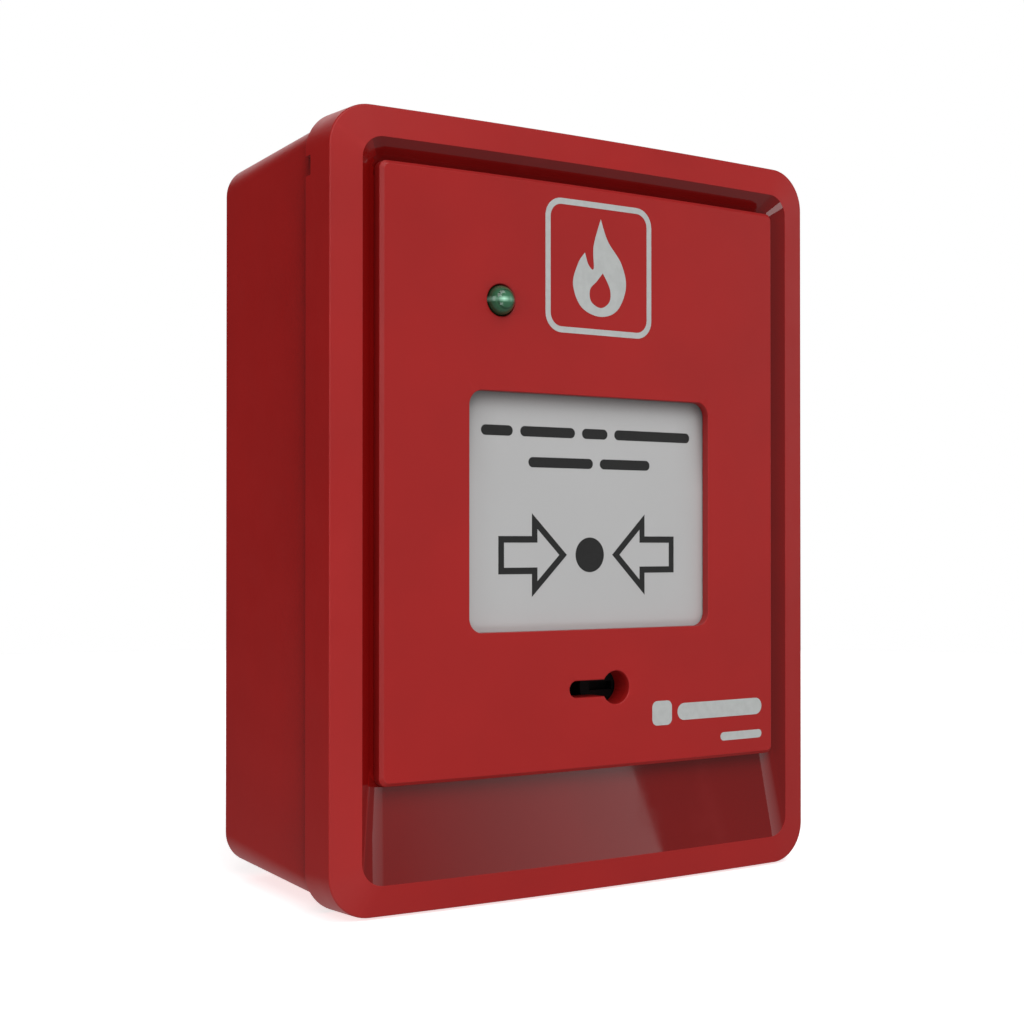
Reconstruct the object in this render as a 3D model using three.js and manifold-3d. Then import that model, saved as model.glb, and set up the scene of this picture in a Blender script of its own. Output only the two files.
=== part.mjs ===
// Manual fire alarm call point: a red surface box with a bulged front, a window with a white press
// plate, a green status lamp and a reset keyhole, with its switch, latch and circuit board inside.
//
// Units are millimetres. +Z is up, +Y points into the wall and the front faces -Y.
// The origin is the centre of the flat back of the box, which lies against the wall.

import * as THREE from "three";
import { mergeVertices } from "three/addons/utils/BufferGeometryUtils.js";
import Module from "manifold-3d";

const wasm = await Module();
wasm.setup();

// ---------------------------------------------------------------- driving dimensions

const GAP = 0.3; // clearance between neighbouring pieces

// Outline of the front frame.
const WIDTH = 92;
const HEIGHT = 120;
const FRONT_Y = -42.2; // front edge of the frame at its two sides, before the bulge is added
const BULGE = 1.5; // how far the middle of the front stands out past its sides
const FRAME_REAR_Y = -33.15;
const FRAME_DRAFT = 0.4; // the top and bottom of the frame flare out by this much at the rear
const FRAME_CORNER = 6.5;
const FRAME_WALL = 2.4;
const RIM_DROP = 0.92; // the rim falls back from its crest to the outer edge by this much
const EDGE = 0.25; // small edge rounding, drawn as one bevel

// Dish: the opening inside the rim and the floor that the panel stands on.
const DISH_HALF = 41.22;
const DISH_TOP = 55.25;
const DISH_BOTTOM = -55.3;
const DISH_CORNER = 3.5;
const DISH_DEPTH = 2.5;
const DISH_INSET = 2.75; // how far the side and top walls lean in over that depth
const SCOOP_TOP = -44.4; // the long slope under the panel starts here
const FLOOR_CORNER = 2.3;
const FLOOR_THICK = 2;
const FLOOR_HOLE = { half: 33.8, top: 47.5, bottom: -36.5, corner: 2 };

// Face panel.
const PANEL_HALF = 38.25;
const PANEL_TOP = 51.92;
const PANEL_BOTTOM = -40.85;
const PANEL_CORNER = 1.2;
const PANEL_BEVEL = 0.6;
const PANEL_SKIN = 1.46;
const PANEL_RIB = 1.9;
const PANEL_DEPTH = DISH_DEPTH - GAP;
const PANEL_POST_X = 30.3;
const PANEL_POST_Z = [43.5, -32.5];
const PANEL_POST_R = 3.2;
const SCREW_R = 1;
const BOSS_BITE = 0.35; // the bosses behind the panel start this far in front of its side edges

// Window and press plate.
const WINDOW_HALF = 23.33;
const WINDOW_TOP = 18.54;
const WINDOW_BOTTOM = -18.57;
const WINDOW_CORNER = 2.3;
const PLATE_SET_BACK = 1.76;
const PLATE_MARGIN = 1.6; // hidden edge of the plate behind the panel
const PLATE_BACK_Y = -39.6;
const PLATE_STEP = { x0: 0.5, x1: 7.5, endY: -37.5, height: 1.8 }; // rests over the latch slider
const GUIDE_X = 20; // plate guide pins, left and right
const GUIDE_R = 2;
const GUIDE_END_Y = -29.5;

// Status lamp and keyhole.
const LAMP = { x: -17.75, z: 32.5, r: 2.45, tipY: -45.3, baseY: -36.7 };
const LAMP_COLLAR = { wall: 1.3, endY: -40.1 };
const LEAD = { apart: 1.27, half: 0.25 }; // the lamp's two wires, either side of its middle
const KEY = { x: 3.97, z: -27.95, r: 2.66, slotEnd: -5.05, slotHalf: 1.33 };
const KEY_BOSS = { wall: 1.2, endY: -39.6 }; // the walls that line the keyhole behind the skin
const ROTOR_COLLAR_END_Y = -38.1;

// Chassis, the plate behind the panel that carries the mechanism.
const CHASSIS = { half: 36.8, top: 50, bottom: -38.6, frontY: -34.9, backY: -33.1, wall: 1.6 };
const SPRING_CUP = { outerR: 4.4, innerR: 3.3, floorY: -31.4, backY: -30.1 };

// Reset rotor and the latch slider that its pin moves.
const ROTOR = { r: 4.1, frontY: -39.3, backY: -37.1, pinRadius: 3, pinR: 1, pinEndY: -35.3 };
const KEYWAY = { half: 2.2, halfWidth: 0.7, depth: 1.5 };
const SLIDER = { frontY: -36.8, backY: -35.2, left: -1, right: 9, top: -20.6, bottom: -31 };
const SLIDER_SLOT = { left: 4.8, right: 8.3 };
const SLIDER_ARM = { left: -12, top: -22.3 };
const SLIDER_NOSE = { inset: 2, height: 2 };
const SLIDER_GUIDES = { thick: 1.4, right: [-33, -21], left: [-36, -30] }; // ribs beside the slider
const LATCH_SPRING = { x: -9.5, y: -37.1, top: -24.8, bottom: -36.7, r: 1.35 };

// Snap switch.
const SWITCH = { x0: 4.6, x1: 13.4, z: 8, halfZ: 2.9, frontY: -30.5, backY: -26.5 };
const LEVER = { pivotX: 6, endX: 16.2, y: -33.5, thick: 0.35, halfZ: 1.6 };
const PLUNGER = { x: 9.6, r: 0.8, tipY: -33, innerY: -29.7, travel: 1 };
const ACTUATOR_X = 15; // the plate's finger that pushes the lever

// Circuit board and what stands on its back face.
const BOARD = { half: 31, top: 42, bottom: -33, frontY: -26.2, backY: -24.6 };
const BOARD_POSTS = [
  [-26, 30],
  [26, 30],
  [0, -14],
];
const PARTS_Y = BOARD.backY + GAP;
const SWITCH_PINS = [5.8, 9, 12.2];
const TERMINAL = { width: 34, z0: -30, z1: -20, depth: 10, pitch: 8, count: 4 };
const ADDRESS = { x: -4, z: 33, halfX: 5.8, halfZ: 3.2, height: 3.4, pitch: 2.54, count: 4 };
const VARISTOR = { x: 24, z: 2, r: 4.2, thick: 3.2 };
const CHOKE = { x: -22, z: -10, half: 3, height: 3 };
const MICROCONTROLLER = { x: -4, z: 16, halfX: 3.5, halfZ: 3.5, height: 1.1 };
const BUS_CHIP = { x: -17, z: 14, halfX: 2.5, halfZ: 2, height: 1.6 };
const DIODE = { x: 2, z: 4, halfX: 2.2, halfZ: 1.4, height: 2 };
const RESISTOR_LEFT = { x: -12, z: 6, halfX: 0.8, halfZ: 1.6, height: 0.6 };
const RESISTOR_RIGHT = { ...RESISTOR_LEFT, x: -8 };
const CAPACITOR_LARGE = { x: 15, z: 20, r: 4, height: 9 };
const CAPACITOR_SMALL = { x: 24, z: 20, r: 2.5, height: 6 };

// Back box.
const BOX = { half: 44.7, top: 58.6, corner: 3.25, frontY: -32.8, backWall: 2.4 };
const BOX_BACK = { top: 58.15, corner: 5.2, edge: 0.75 };
const BOX_INSIDE = { half: 41.5, top: 55.2, corner: 4.2 };
const LIP = { half: 43.25, top: 57.25, corner: 5.5, frontY: -36.2 };
const RIM_BACK_Y = -38.6;
const GASKET = { outer: 43.2, outerTop: 57.2, inner: 41.6, innerTop: 55.6, y0: -38.3, y1: -36.5 };
const HOOK = { x: 20, half: 4, z0: 53.2, z1: 54.9, endY: -25, barb: 1.1, barbLength: 2 };
const HOOK_POCKET = { before: 3.2, after: 1 };
const PRY_SLOT = { bottom: 50, top: 53, depth: 1.8 };
const WALL_SCREW = { x: 30.15, r: 2.3 };
const CABLE_ENTRY = { z: 28, r: 7 };

// Facets.
const CORNER_STEPS = 5;
const SPAN_STEPS = 8;
const ROUND = 24;

// ---------------------------------------------------------------- materials

function material(color, roughness, metalness = 0) {
  return new THREE.MeshStandardMaterial({ color, roughness, metalness });
}

const LOOK = {
  red: () => material(0x9c2929, 0.42),
  white: () => material(0xb9b9b9, 0.5),
  darkPlastic: () => material(0x202124, 0.5),
  greyPlastic: () => material(0x6f7377, 0.55),
  rubber: () => material(0x1b1b1c, 0.85),
  lamp: () => material(0x2f7a4a, 0.08),
  board: () => material(0x1d5a34, 0.45),
  terminal: () => material(0x2c6b46, 0.5),
  steel: () => material(0xb8bcc0, 0.28, 1),
  brass: () => material(0xc8a24c, 0.3, 1),
  can: () => material(0x2a2d38, 0.35, 0.4),
  ceramic: () => material(0x2a4f8f, 0.45),
  chip: () => material(0x18191b, 0.55),
  switchRed: () => material(0xa52a22, 0.5),
};

// ---------------------------------------------------------------- solids

// A three.js geometry as a manifold solid.
function solid(geometry) {
  const g = geometry.clone();
  g.deleteAttribute("normal");
  g.deleteAttribute("uv");
  const merged = mergeVertices(g, 1e-4);
  const vertProperties = new Float32Array(merged.attributes.position.array);
  const triVerts = new Uint32Array(merged.index.array);
  return new wasm.Manifold(new wasm.Mesh({ numProp: 3, vertProperties, triVerts }));
}

// A manifold solid as a three.js geometry.
function geometryOf(made) {
  const mesh = made.getMesh();
  const g = new THREE.BufferGeometry();
  g.setAttribute("position", new THREE.BufferAttribute(mesh.vertProperties, 3));
  g.setIndex(new THREE.BufferAttribute(mesh.triVerts, 1));
  g.computeVertexNormals();
  return g;
}

function join(...pieces) {
  return pieces.reduce((sum, piece) => sum.add(piece));
}

function cut(body, ...tools) {
  return tools.reduce((rest, tool) => rest.subtract(tool), body);
}

function block(x0, x1, y0, y1, z0, z1) {
  const g = new THREE.BoxGeometry(x1 - x0, y1 - y0, z1 - z0);
  return solid(g.translate((x0 + x1) / 2, (y0 + y1) / 2, (z0 + z1) / 2));
}

// Two limits in rising order.
function rising(a, b) {
  return [Math.min(a, b), Math.max(a, b)];
}

// A round bar along Y, from y0 to y1.
function rodY(x, z, r, y0, y1, sides = ROUND) {
  const g = new THREE.CylinderGeometry(r, r, y1 - y0, sides);
  return solid(g.translate(x, (y0 + y1) / 2, z));
}

// A round bar along Z, from z0 to z1.
function rodZ(x, y, r, z0, z1, sides = ROUND) {
  const g = new THREE.CylinderGeometry(r, r, z1 - z0, sides).rotateX(Math.PI / 2);
  return solid(g.translate(x, y, (z0 + z1) / 2));
}

// A turned piece about an axis along Y. Each profile point is [radius, y], and the outside lies on
// the right of the way the profile runs.
function turnedY(x, z, profile, sides = ROUND) {
  const points = profile.map(([r, y]) => new THREE.Vector2(r, y));
  return solid(new THREE.LatheGeometry(points, sides).translate(x, 0, z));
}

// How far the bulged front stands out at a distance x from the middle.
function bulgeAt(x) {
  return BULGE * (1 - ((2 * x) / WIDTH) ** 2);
}

// One rounded rectangle, as matching upper and lower rows of points from left to right.
// A flat loop lies at y; a bulged loop follows the front, y deep in it.
function loopRows({ half, top, bottom, corner, y, bulged }) {
  const left = [];
  for (let i = 0; i <= CORNER_STEPS; i++) {
    const a = (Math.PI / 2) * (i / CORNER_STEPS);
    left.push([-half + corner * (1 - Math.cos(a)), corner * (1 - Math.sin(a))]);
  }
  const inner = half - corner;
  const middle = [];
  for (let i = 1; i < SPAN_STEPS; i++) {
    middle.push([-inner + (2 * inner * i) / SPAN_STEPS, 0]);
  }
  const right = left.map(([x, drop]) => [-x, drop]).reverse();
  const columns = [...left, ...middle, ...right];
  const depthAt = (x) => (bulged ? FRONT_Y + y - bulgeAt(x) : y);
  const row = (level, sign) =>
    columns.map(([x, drop]) => new THREE.Vector3(x, depthAt(x), level + sign * drop));
  return { upper: row(top, -1), lower: row(bottom, 1) };
}

// A solid skinned over rounded rectangles listed from front to back.
function loft(...loops) {
  const rows = loops.map(loopRows);
  const count = rows[0].upper.length;
  const size = 2 * count;
  const points = rows.flatMap(({ upper, lower }) => [...upper, ...lower.toReversed()]);
  const faces = [];
  for (let j = 0; j + 1 < rows.length; j++) {
    for (let i = 0; i < size; i++) {
      const a = j * size + i;
      const b = j * size + ((i + 1) % size);
      faces.push(a, b, a + size, b, b + size, a + size);
    }
  }
  const back = (rows.length - 1) * size;
  for (let i = 0; i + 1 < count; i++) {
    const low = size - 1 - i;
    faces.push(i, low, i + 1, i + 1, low, low - 1);
    faces.push(back + i, back + i + 1, back + low, back + i + 1, back + low - 1, back + low);
  }
  const g = new THREE.BufferGeometry().setFromPoints(points);
  g.setIndex(faces);
  return solid(g);
}

// A loop given by its half width and half height.
function evenLoop(half, top, corner, y, bulged = false) {
  return { half, top, bottom: -top, corner, y, bulged };
}

// ---------------------------------------------------------------- box and frame

function backBox() {
  const { half, top, corner, frontY, backWall } = BOX;
  const { edge } = BOX_BACK;
  const inside = BOX_INSIDE;
  const shell = loft(
    evenLoop(half, top, corner, frontY),
    evenLoop(half, BOX_BACK.top, BOX_BACK.corner, -edge),
    evenLoop(half - edge, BOX_BACK.top - edge, BOX_BACK.corner - edge, 0),
  );
  const lip = loft(
    evenLoop(LIP.half, LIP.top, LIP.corner, LIP.frontY),
    evenLoop(LIP.half, LIP.top, LIP.corner, frontY + 1),
  );
  const hollow = loft(
    evenLoop(inside.half, inside.top, inside.corner, LIP.frontY - 1),
    evenLoop(inside.half, inside.top, inside.corner, -backWall),
  );
  const tools = [hollow];
  for (const side of [-1, 1]) {
    tools.push(rodY(side * WALL_SCREW.x, 0, WALL_SCREW.r, -backWall - 1, 1));
    for (const level of [-1, 1]) {
      const reach = HOOK.half + 2 * GAP;
      const x = side * HOOK.x;
      const y0 = HOOK.endY - HOOK_POCKET.before;
      const y1 = HOOK.endY + HOOK_POCKET.after;
      const z = rising(level * (inside.top - 0.5), level * (HOOK.z1 + HOOK.barb + GAP));
      tools.push(block(x - reach, x + reach, y0, y1, ...z));
    }
  }
  tools.push(rodY(0, CABLE_ENTRY.z, CABLE_ENTRY.r, -backWall - 1, 1));
  return cut(join(shell, lip), ...tools);
}

// Rubber bush in the cable hole, held by its wide flange inside the box.
function cableGrommet() {
  const inside = -BOX.backWall - GAP;
  const neck = CABLE_ENTRY.r - GAP;
  const bore = 3.6;
  const flange = 9;
  const profile = [
    [bore, -GAP],
    [neck, -GAP],
    [neck, inside],
    [flange, inside],
    [flange, inside - 1.6],
    [bore + 0.8, inside - 2],
    [bore, inside - 1.4],
    [bore, -GAP],
  ];
  return turnedY(0, CABLE_ENTRY.z, profile.toReversed());
}

function boxGasket() {
  const { outer, outerTop, inner, innerTop, y0, y1 } = GASKET;
  const outside = (y) => evenLoop(outer, outerTop, LIP.corner, y);
  const inside = (y) => evenLoop(inner, innerTop, BOX_INSIDE.corner, y);
  return cut(loft(outside(y0), outside(y1)), loft(inside(y0 - 1), inside(y1 + 1)));
}

// The opening of the dish: its walls lean in from the crest of the rim to the floor.
function dishHollow() {
  const lean = DISH_INSET / DISH_DEPTH;
  const slope = (SCOOP_TOP - DISH_BOTTOM) / DISH_DEPTH;
  const loopAt = (depth, corner) => ({
    half: DISH_HALF - lean * depth,
    top: DISH_TOP - lean * depth,
    bottom: DISH_BOTTOM + slope * depth,
    corner,
    y: depth,
    bulged: true,
  });
  const before = -1;
  const cornerBefore = DISH_CORNER + ((DISH_CORNER - FLOOR_CORNER) * -before) / DISH_DEPTH;
  return loft(loopAt(before, cornerBefore), loopAt(DISH_DEPTH, FLOOR_CORNER));
}

function snapHook(side, level) {
  const { half, z0, z1, endY, barb, barbLength } = HOOK;
  const x = side * HOOK.x;
  const arm = block(x - half, x + half, RIM_BACK_Y - 1.2, endY, ...rising(level * z0, level * z1));
  const tip = rising(level * z0, level * (z1 + barb));
  return join(arm, block(x - half, x + half, endY - barbLength, endY, ...tip));
}

function frontFrame() {
  const half = WIDTH / 2;
  const top = HEIGHT / 2;
  const inside = FRAME_CORNER - FRAME_WALL;
  const rimSlope = RIM_DROP / (half - DISH_HALF);
  const body = loft(
    evenLoop(DISH_HALF - 1, DISH_TOP - 1, DISH_CORNER, -rimSlope, true),
    evenLoop(half - EDGE, top - EDGE, FRAME_CORNER - EDGE, RIM_DROP - rimSlope * EDGE, true),
    evenLoop(half, top, FRAME_CORNER, RIM_DROP + EDGE, true),
    evenLoop(half, top + FRAME_DRAFT, FRAME_CORNER, FRAME_REAR_Y),
  );
  const rearHollow = loft(
    evenLoop(half - FRAME_WALL, top - FRAME_WALL, inside, RIM_BACK_Y),
    evenLoop(half - FRAME_WALL, top - FRAME_WALL, inside, FRAME_REAR_Y + 1),
  );
  const underFloor = { half: 40.2, top: 53, bottom: -46.4, corner: 3 };
  const floorHollow = loft(
    { ...underFloor, y: DISH_DEPTH + FLOOR_THICK, bulged: true },
    { ...underFloor, y: RIM_BACK_Y + 1, bulged: false },
  );
  const floorHole = loft(
    { ...FLOOR_HOLE, y: FRONT_Y - 4, bulged: false },
    { ...FLOOR_HOLE, y: RIM_BACK_Y + 2, bulged: false },
  );
  const slots = [-1, 1].map((side) => {
    const x = rising(side * (half + 1), side * (half - FRAME_WALL - 1));
    const front = FRAME_REAR_Y - PRY_SLOT.depth;
    return block(...x, front, FRAME_REAR_Y + 1, PRY_SLOT.bottom, PRY_SLOT.top);
  });
  const ring = cut(body, dishHollow(), rearHollow, floorHollow, floorHole, ...slots);
  const hooks = [snapHook(-1, 1), snapHook(1, 1), snapHook(-1, -1), snapHook(1, -1)];
  return join(ring, ...hooks);
}

// ---------------------------------------------------------------- face panel and plate

// The outline of the reset opening, a round hole with a narrow slot to its left, grown by out.
function keyholeShape(out, y0, y1) {
  const { x, z } = KEY;
  const slotCentre = KEY.slotEnd + KEY.slotHalf;
  const halfSlot = KEY.slotHalf + out;
  return join(
    rodY(x, z, KEY.r + out, y0, y1),
    block(slotCentre, x, y0, y1, z - halfSlot, z + halfSlot),
    rodY(slotCentre, z, halfSlot, y0, y1, 16),
  );
}

function panelPosts(r, y0, y1, sides) {
  const posts = [];
  for (const z of PANEL_POST_Z) {
    for (const side of [-1, 1]) {
      posts.push(rodY(side * PANEL_POST_X, z, r, y0, y1, sides));
    }
  }
  return posts;
}

function facePanel() {
  const outer = (out, y) => ({
    half: PANEL_HALF - out,
    top: PANEL_TOP - out,
    bottom: PANEL_BOTTOM + out,
    corner: PANEL_CORNER - out / 2,
    y,
    bulged: true,
  });
  const inner = (y) => ({ ...outer(PANEL_RIB, y), corner: 1 });
  const shell = cut(
    loft(outer(PANEL_BEVEL, 0), outer(0, PANEL_BEVEL), outer(0, PANEL_DEPTH)),
    loft(inner(PANEL_SKIN), inner(PANEL_DEPTH + 2)),
  );
  const skinY = FRONT_Y - BOSS_BITE;
  const postEnd = CHASSIS.frontY - GAP;
  const posts = panelPosts(PANEL_POST_R, skinY, postEnd, 16);
  const rotorBore = ROTOR.r + GAP;
  const collar = rodY(KEY.x, KEY.z, rotorBore + KEY_BOSS.wall, skinY, ROTOR_COLLAR_END_Y);
  const keyBoss = keyholeShape(KEY_BOSS.wall, skinY, KEY_BOSS.endY);
  const lampCollar = rodY(LAMP.x, LAMP.z, LAMP.r + LAMP_COLLAR.wall, skinY, LAMP_COLLAR.endY);
  const windowY = { half: WINDOW_HALF, top: WINDOW_TOP, bottom: WINDOW_BOTTOM, corner: WINDOW_CORNER };
  const windowTool = loft(
    { ...windowY, y: FRONT_Y - BULGE - 2, bulged: false },
    { ...windowY, y: FRONT_Y + 4, bulged: false },
  );
  return cut(
    join(shell, ...posts, collar, keyBoss, lampCollar),
    windowTool,
    rodY(LAMP.x, LAMP.z, LAMP.r + 0.1, FRONT_Y - 4, LAMP_COLLAR.endY + 1),
    rodY(KEY.x, KEY.z, rotorBore, ROTOR.frontY - GAP, ROTOR_COLLAR_END_Y + 1),
    keyholeShape(0, FRONT_Y - 4, ROTOR_COLLAR_END_Y + 1),
    ...panelPosts(SCREW_R + GAP, postEnd - 6, postEnd + 1, 12),
  );
}

// The white plate with its two guide pins, the finger for the switch and the latch step.
function pressPlate() {
  const half = WINDOW_HALF + PLATE_MARGIN;
  const top = WINDOW_TOP + PLATE_MARGIN;
  const slab = loft(
    evenLoop(half, top, 3, PLATE_SET_BACK, true),
    evenLoop(half, top, 3, PLATE_BACK_Y),
  );
  const pins = [-1, 1].map((side) => rodY(side * GUIDE_X, 0, GUIDE_R, PLATE_BACK_Y - 0.5, GUIDE_END_Y));
  const fingerEnd = LEVER.y - LEVER.thick / 2 - GAP;
  const finger = block(
    ACTUATOR_X - 0.8, ACTUATOR_X + 0.8,
    PLATE_BACK_Y - 0.5, fingerEnd,
    SWITCH.z - 1.5, SWITCH.z + 1.5,
  );
  const { x0, x1, endY, height } = PLATE_STEP;
  const step = block(x0, x1, PLATE_BACK_Y - 0.5, endY, -top, -top + height);
  return join(slab, ...pins, finger, step);
}

// ---------------------------------------------------------------- springs

// The centre line of a coil spring that starts at the origin and rises along Z.
class CoilPath extends THREE.Curve {
  constructor(r, length, turns) {
    super();
    Object.assign(this, { r, length, turns });
  }
  getPoint(t, target = new THREE.Vector3()) {
    const a = 2 * Math.PI * this.turns * t;
    return target.set(this.r * Math.cos(a), this.r * Math.sin(a), this.length * t);
  }
}

// A coil spring of round wire, standing on z = 0.
function coil(r, wire, length, turns) {
  const section = new THREE.Shape().absarc(0, 0, wire / 2, 0, 2 * Math.PI);
  const steps = Math.round(turns * 12);
  return new THREE.ExtrudeGeometry(section, {
    curveSegments: 3,
    steps,
    bevelEnabled: false,
    extrudePath: new CoilPath(r, length - wire, turns),
  }).translate(0, 0, wire / 2);
}

function plateSpring(side) {
  const length = SPRING_CUP.floorY - GAP - (PLATE_BACK_Y + GAP);
  const g = coil(2.6, 0.5, length, 5.25).rotateX(-Math.PI / 2);
  return g.translate(side * GUIDE_X, PLATE_BACK_Y + GAP, 0);
}

function latchSpring() {
  const { x, y, top, bottom, r } = LATCH_SPRING;
  return coil(r, 0.4, top - bottom, 8.25).translate(x, y, bottom);
}

// ---------------------------------------------------------------- mechanism

function chassis() {
  const { half, top, bottom, frontY, backY, wall } = CHASSIS;
  const outline = { half, top, bottom, corner: 2.4 };
  const inside = { half: half - wall, top: top - wall, bottom: bottom + wall, corner: 1 };
  const wallFront = DISH_DEPTH + FLOOR_THICK + GAP;
  const tray = cut(
    loft({ ...outline, y: wallFront, bulged: true }, { ...outline, y: backY, bulged: false }),
    loft({ ...inside, y: wallFront - 2, bulged: true }, { ...inside, y: frontY, bulged: false }),
  );
  const solids = [tray];
  const tools = [];
  for (const side of [-1, 1]) {
    const x = side * GUIDE_X;
    solids.push(rodY(x, 0, SPRING_CUP.outerR, frontY + 0.5, SPRING_CUP.backY));
    tools.push(rodY(x, 0, SPRING_CUP.innerR, frontY - 1, SPRING_CUP.floorY));
    tools.push(rodY(x, 0, GUIDE_R + GAP, SPRING_CUP.floorY - 1, SPRING_CUP.backY + 1));
  }
  for (const [x, z] of BOARD_POSTS) {
    solids.push(rodY(x, z, 2.8, backY - 0.5, BOARD.frontY - GAP, 16));
    tools.push(rodY(x, z, SCREW_R + GAP, BOARD.frontY - 6, BOARD.frontY, 12));
  }
  const right = SLIDER.right + GAP;
  const left = SLIDER.left - GAP;
  const guides = SLIDER_GUIDES;
  solids.push(block(right, right + guides.thick, SLIDER.frontY, frontY + 0.5, ...guides.right));
  solids.push(block(left - guides.thick, left, SLIDER.frontY, frontY + 0.5, ...guides.left));
  const room = SWITCH.halfZ + 0.7;
  const leverRoom = [SWITCH.x0 - 0.8, LEVER.endX + 0.8];
  tools.push(block(...leverRoom, frontY - 1, backY + 1, SWITCH.z - room, SWITCH.z + room));
  tools.push(rodY(LAMP.x, LAMP.z, LAMP.r + 0.8, frontY - 1, backY + 1));
  tools.push(...panelPosts(SCREW_R + GAP, frontY - 1, backY + 1, 12));
  return cut(join(...solids), ...tools);
}

// The key turns this rotor. It has a keyway in front and an off-centre drive pin at the back.
function resetRotor() {
  const { r, frontY, backY, pinRadius, pinR, pinEndY } = ROTOR;
  const offset = pinRadius * Math.SQRT1_2;
  const { half, halfWidth, depth } = KEYWAY;
  const keyway = block(
    KEY.x - half, KEY.x + half,
    frontY - 1, frontY + depth,
    KEY.z - halfWidth, KEY.z + halfWidth,
  );
  return join(
    cut(rodY(KEY.x, KEY.z, r, frontY, backY), keyway),
    rodY(KEY.x + offset, KEY.z + offset, pinR, backY - 0.5, pinEndY, 16),
  );
}

// Slotted slider moved up and down by the rotor's pin, with an arm that bears on its spring.
function latchSlider() {
  const { frontY, backY, left, right, top, bottom } = SLIDER;
  const pinZ = KEY.z + ROTOR.pinRadius * Math.SQRT1_2;
  const halfSlot = ROTOR.pinR + GAP;
  const { inset, height } = SLIDER_NOSE;
  const slot = block(
    SLIDER_SLOT.left, SLIDER_SLOT.right,
    frontY - 1, backY + 1,
    pinZ - halfSlot, pinZ + halfSlot,
  );
  const body = block(left, right, frontY, backY, bottom, top - height);
  const nose = block(left + inset, right - inset, frontY, backY, top - height - 1, top);
  const arm = block(SLIDER_ARM.left, left + 1, frontY, backY, LATCH_SPRING.top + GAP, SLIDER_ARM.top);
  return cut(join(body, nose, arm), slot);
}

// Snap switch with two ears that carry the lever's pivot and a well for the plunger.
function switchBody() {
  const { x0, x1, z, halfZ, frontY, backY } = SWITCH;
  const earFront = LEVER.y - 0.9;
  const earEnd = LEVER.halfZ + GAP;
  return cut(
    join(
      block(x0, x1, frontY, backY, z - halfZ, z + halfZ),
      block(x0, x0 + 2.8, earFront, frontY + 0.5, z + earEnd, z + halfZ),
      block(x0, x0 + 2.8, earFront, frontY + 0.5, z - halfZ, z - earEnd),
    ),
    rodY(PLUNGER.x, z, PLUNGER.r + GAP, frontY - 1, PLUNGER.innerY + PLUNGER.travel + GAP, 16),
  );
}

function switchLever() {
  const { pivotX, endX, y, thick, halfZ } = LEVER;
  const z = [SWITCH.z - halfZ, SWITCH.z + halfZ];
  const strip = block(pivotX, endX, y - thick / 2, y + thick / 2, ...z);
  return join(strip, rodZ(pivotX, y, 0.55, ...z, 16));
}

function switchPlunger() {
  const { x, r, tipY, innerY } = PLUNGER;
  return rodY(x, SWITCH.z, r, tipY, innerY, 16);
}

function switchPin(x) {
  const z = [SWITCH.z - 0.5, SWITCH.z + 0.5];
  return block(x - 0.3, x + 0.3, SWITCH.backY + 0.02, BOARD.backY + 1.2, ...z);
}

// ---------------------------------------------------------------- lamp and electronics

// Domed lamp with a wider foot.
function lampLens() {
  const { x, z, r, tipY, baseY } = LAMP;
  const profile = [[0, baseY]];
  profile.push([r + 0.4, baseY], [r + 0.4, baseY - 1], [r, baseY - 1]);
  const shoulderY = tipY + r;
  const steps = 6;
  for (let i = 0; i < steps; i++) {
    const a = (Math.PI / 2) * (i / steps);
    profile.push([r * Math.cos(a), shoulderY - r * Math.sin(a)]);
  }
  profile.push([0, tipY]);
  return turnedY(x, z, profile.toReversed());
}

function lampLead(side) {
  const { apart, half } = LEAD;
  const x = LAMP.x + side * apart;
  const y0 = LAMP.baseY + GAP;
  return block(x - half, x + half, y0, BOARD.backY + 1, LAMP.z - half, LAMP.z + half);
}

function circuitBoard() {
  const { half, top, bottom, frontY, backY } = BOARD;
  const outline = { half, top, bottom, corner: 2 };
  const slab = loft(
    { ...outline, y: frontY, bulged: false },
    { ...outline, y: backY, bulged: false },
  );
  const through = (x, z, r) => rodY(x, z, r, frontY - 1, backY + 1, 12);
  const holes = BOARD_POSTS.map(([x, z]) => through(x, z, SCREW_R + GAP));
  for (const side of [-1, 1]) {
    holes.push(through(LAMP.x + side * LEAD.apart, LAMP.z, LEAD.half + 0.35));
  }
  for (const x of SWITCH_PINS) {
    holes.push(through(x, SWITCH.z, 0.85));
  }
  return cut(slab, ...holes);
}

// Terminal block: the wires enter from below and the screws are reached from behind.
function terminalBlock() {
  const { z0, z1, depth, pitch, count, width } = TERMINAL;
  const y1 = PARTS_Y + depth;
  const body = block(-width / 2, width / 2, PARTS_Y, y1, z0, z1);
  const halfWell = pitch / 2 - 0.8;
  const wells = [];
  for (let i = 0; i < count; i++) {
    const x = terminalX(i);
    wells.push(block(x - halfWell, x + halfWell, PARTS_Y + 2, y1 - 3.2, z0 - 1, z1 - 2));
    wells.push(rodY(x, terminalZ(), 2.5, y1 - 4, y1 + 1, 16));
  }
  return cut(body, ...wells);
}

function terminalX(i) {
  return (i - (TERMINAL.count - 1) / 2) * TERMINAL.pitch;
}

function terminalZ() {
  return (TERMINAL.z0 + TERMINAL.z1) / 2;
}

// A slotted clamp screw standing in its well.
function terminalScrew(i) {
  const x = terminalX(i);
  const z = terminalZ();
  const headTop = PARTS_Y + TERMINAL.depth - 0.6;
  const head = rodY(x, z, 2.1, headTop - 2, headTop, 16);
  const shank = rodY(x, z, 1.2, headTop - 5, headTop - 1, 12);
  return cut(join(head, shank), block(x - 3, x + 3, headTop - 0.8, headTop + 1, z - 0.35, z + 0.35));
}

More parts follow.
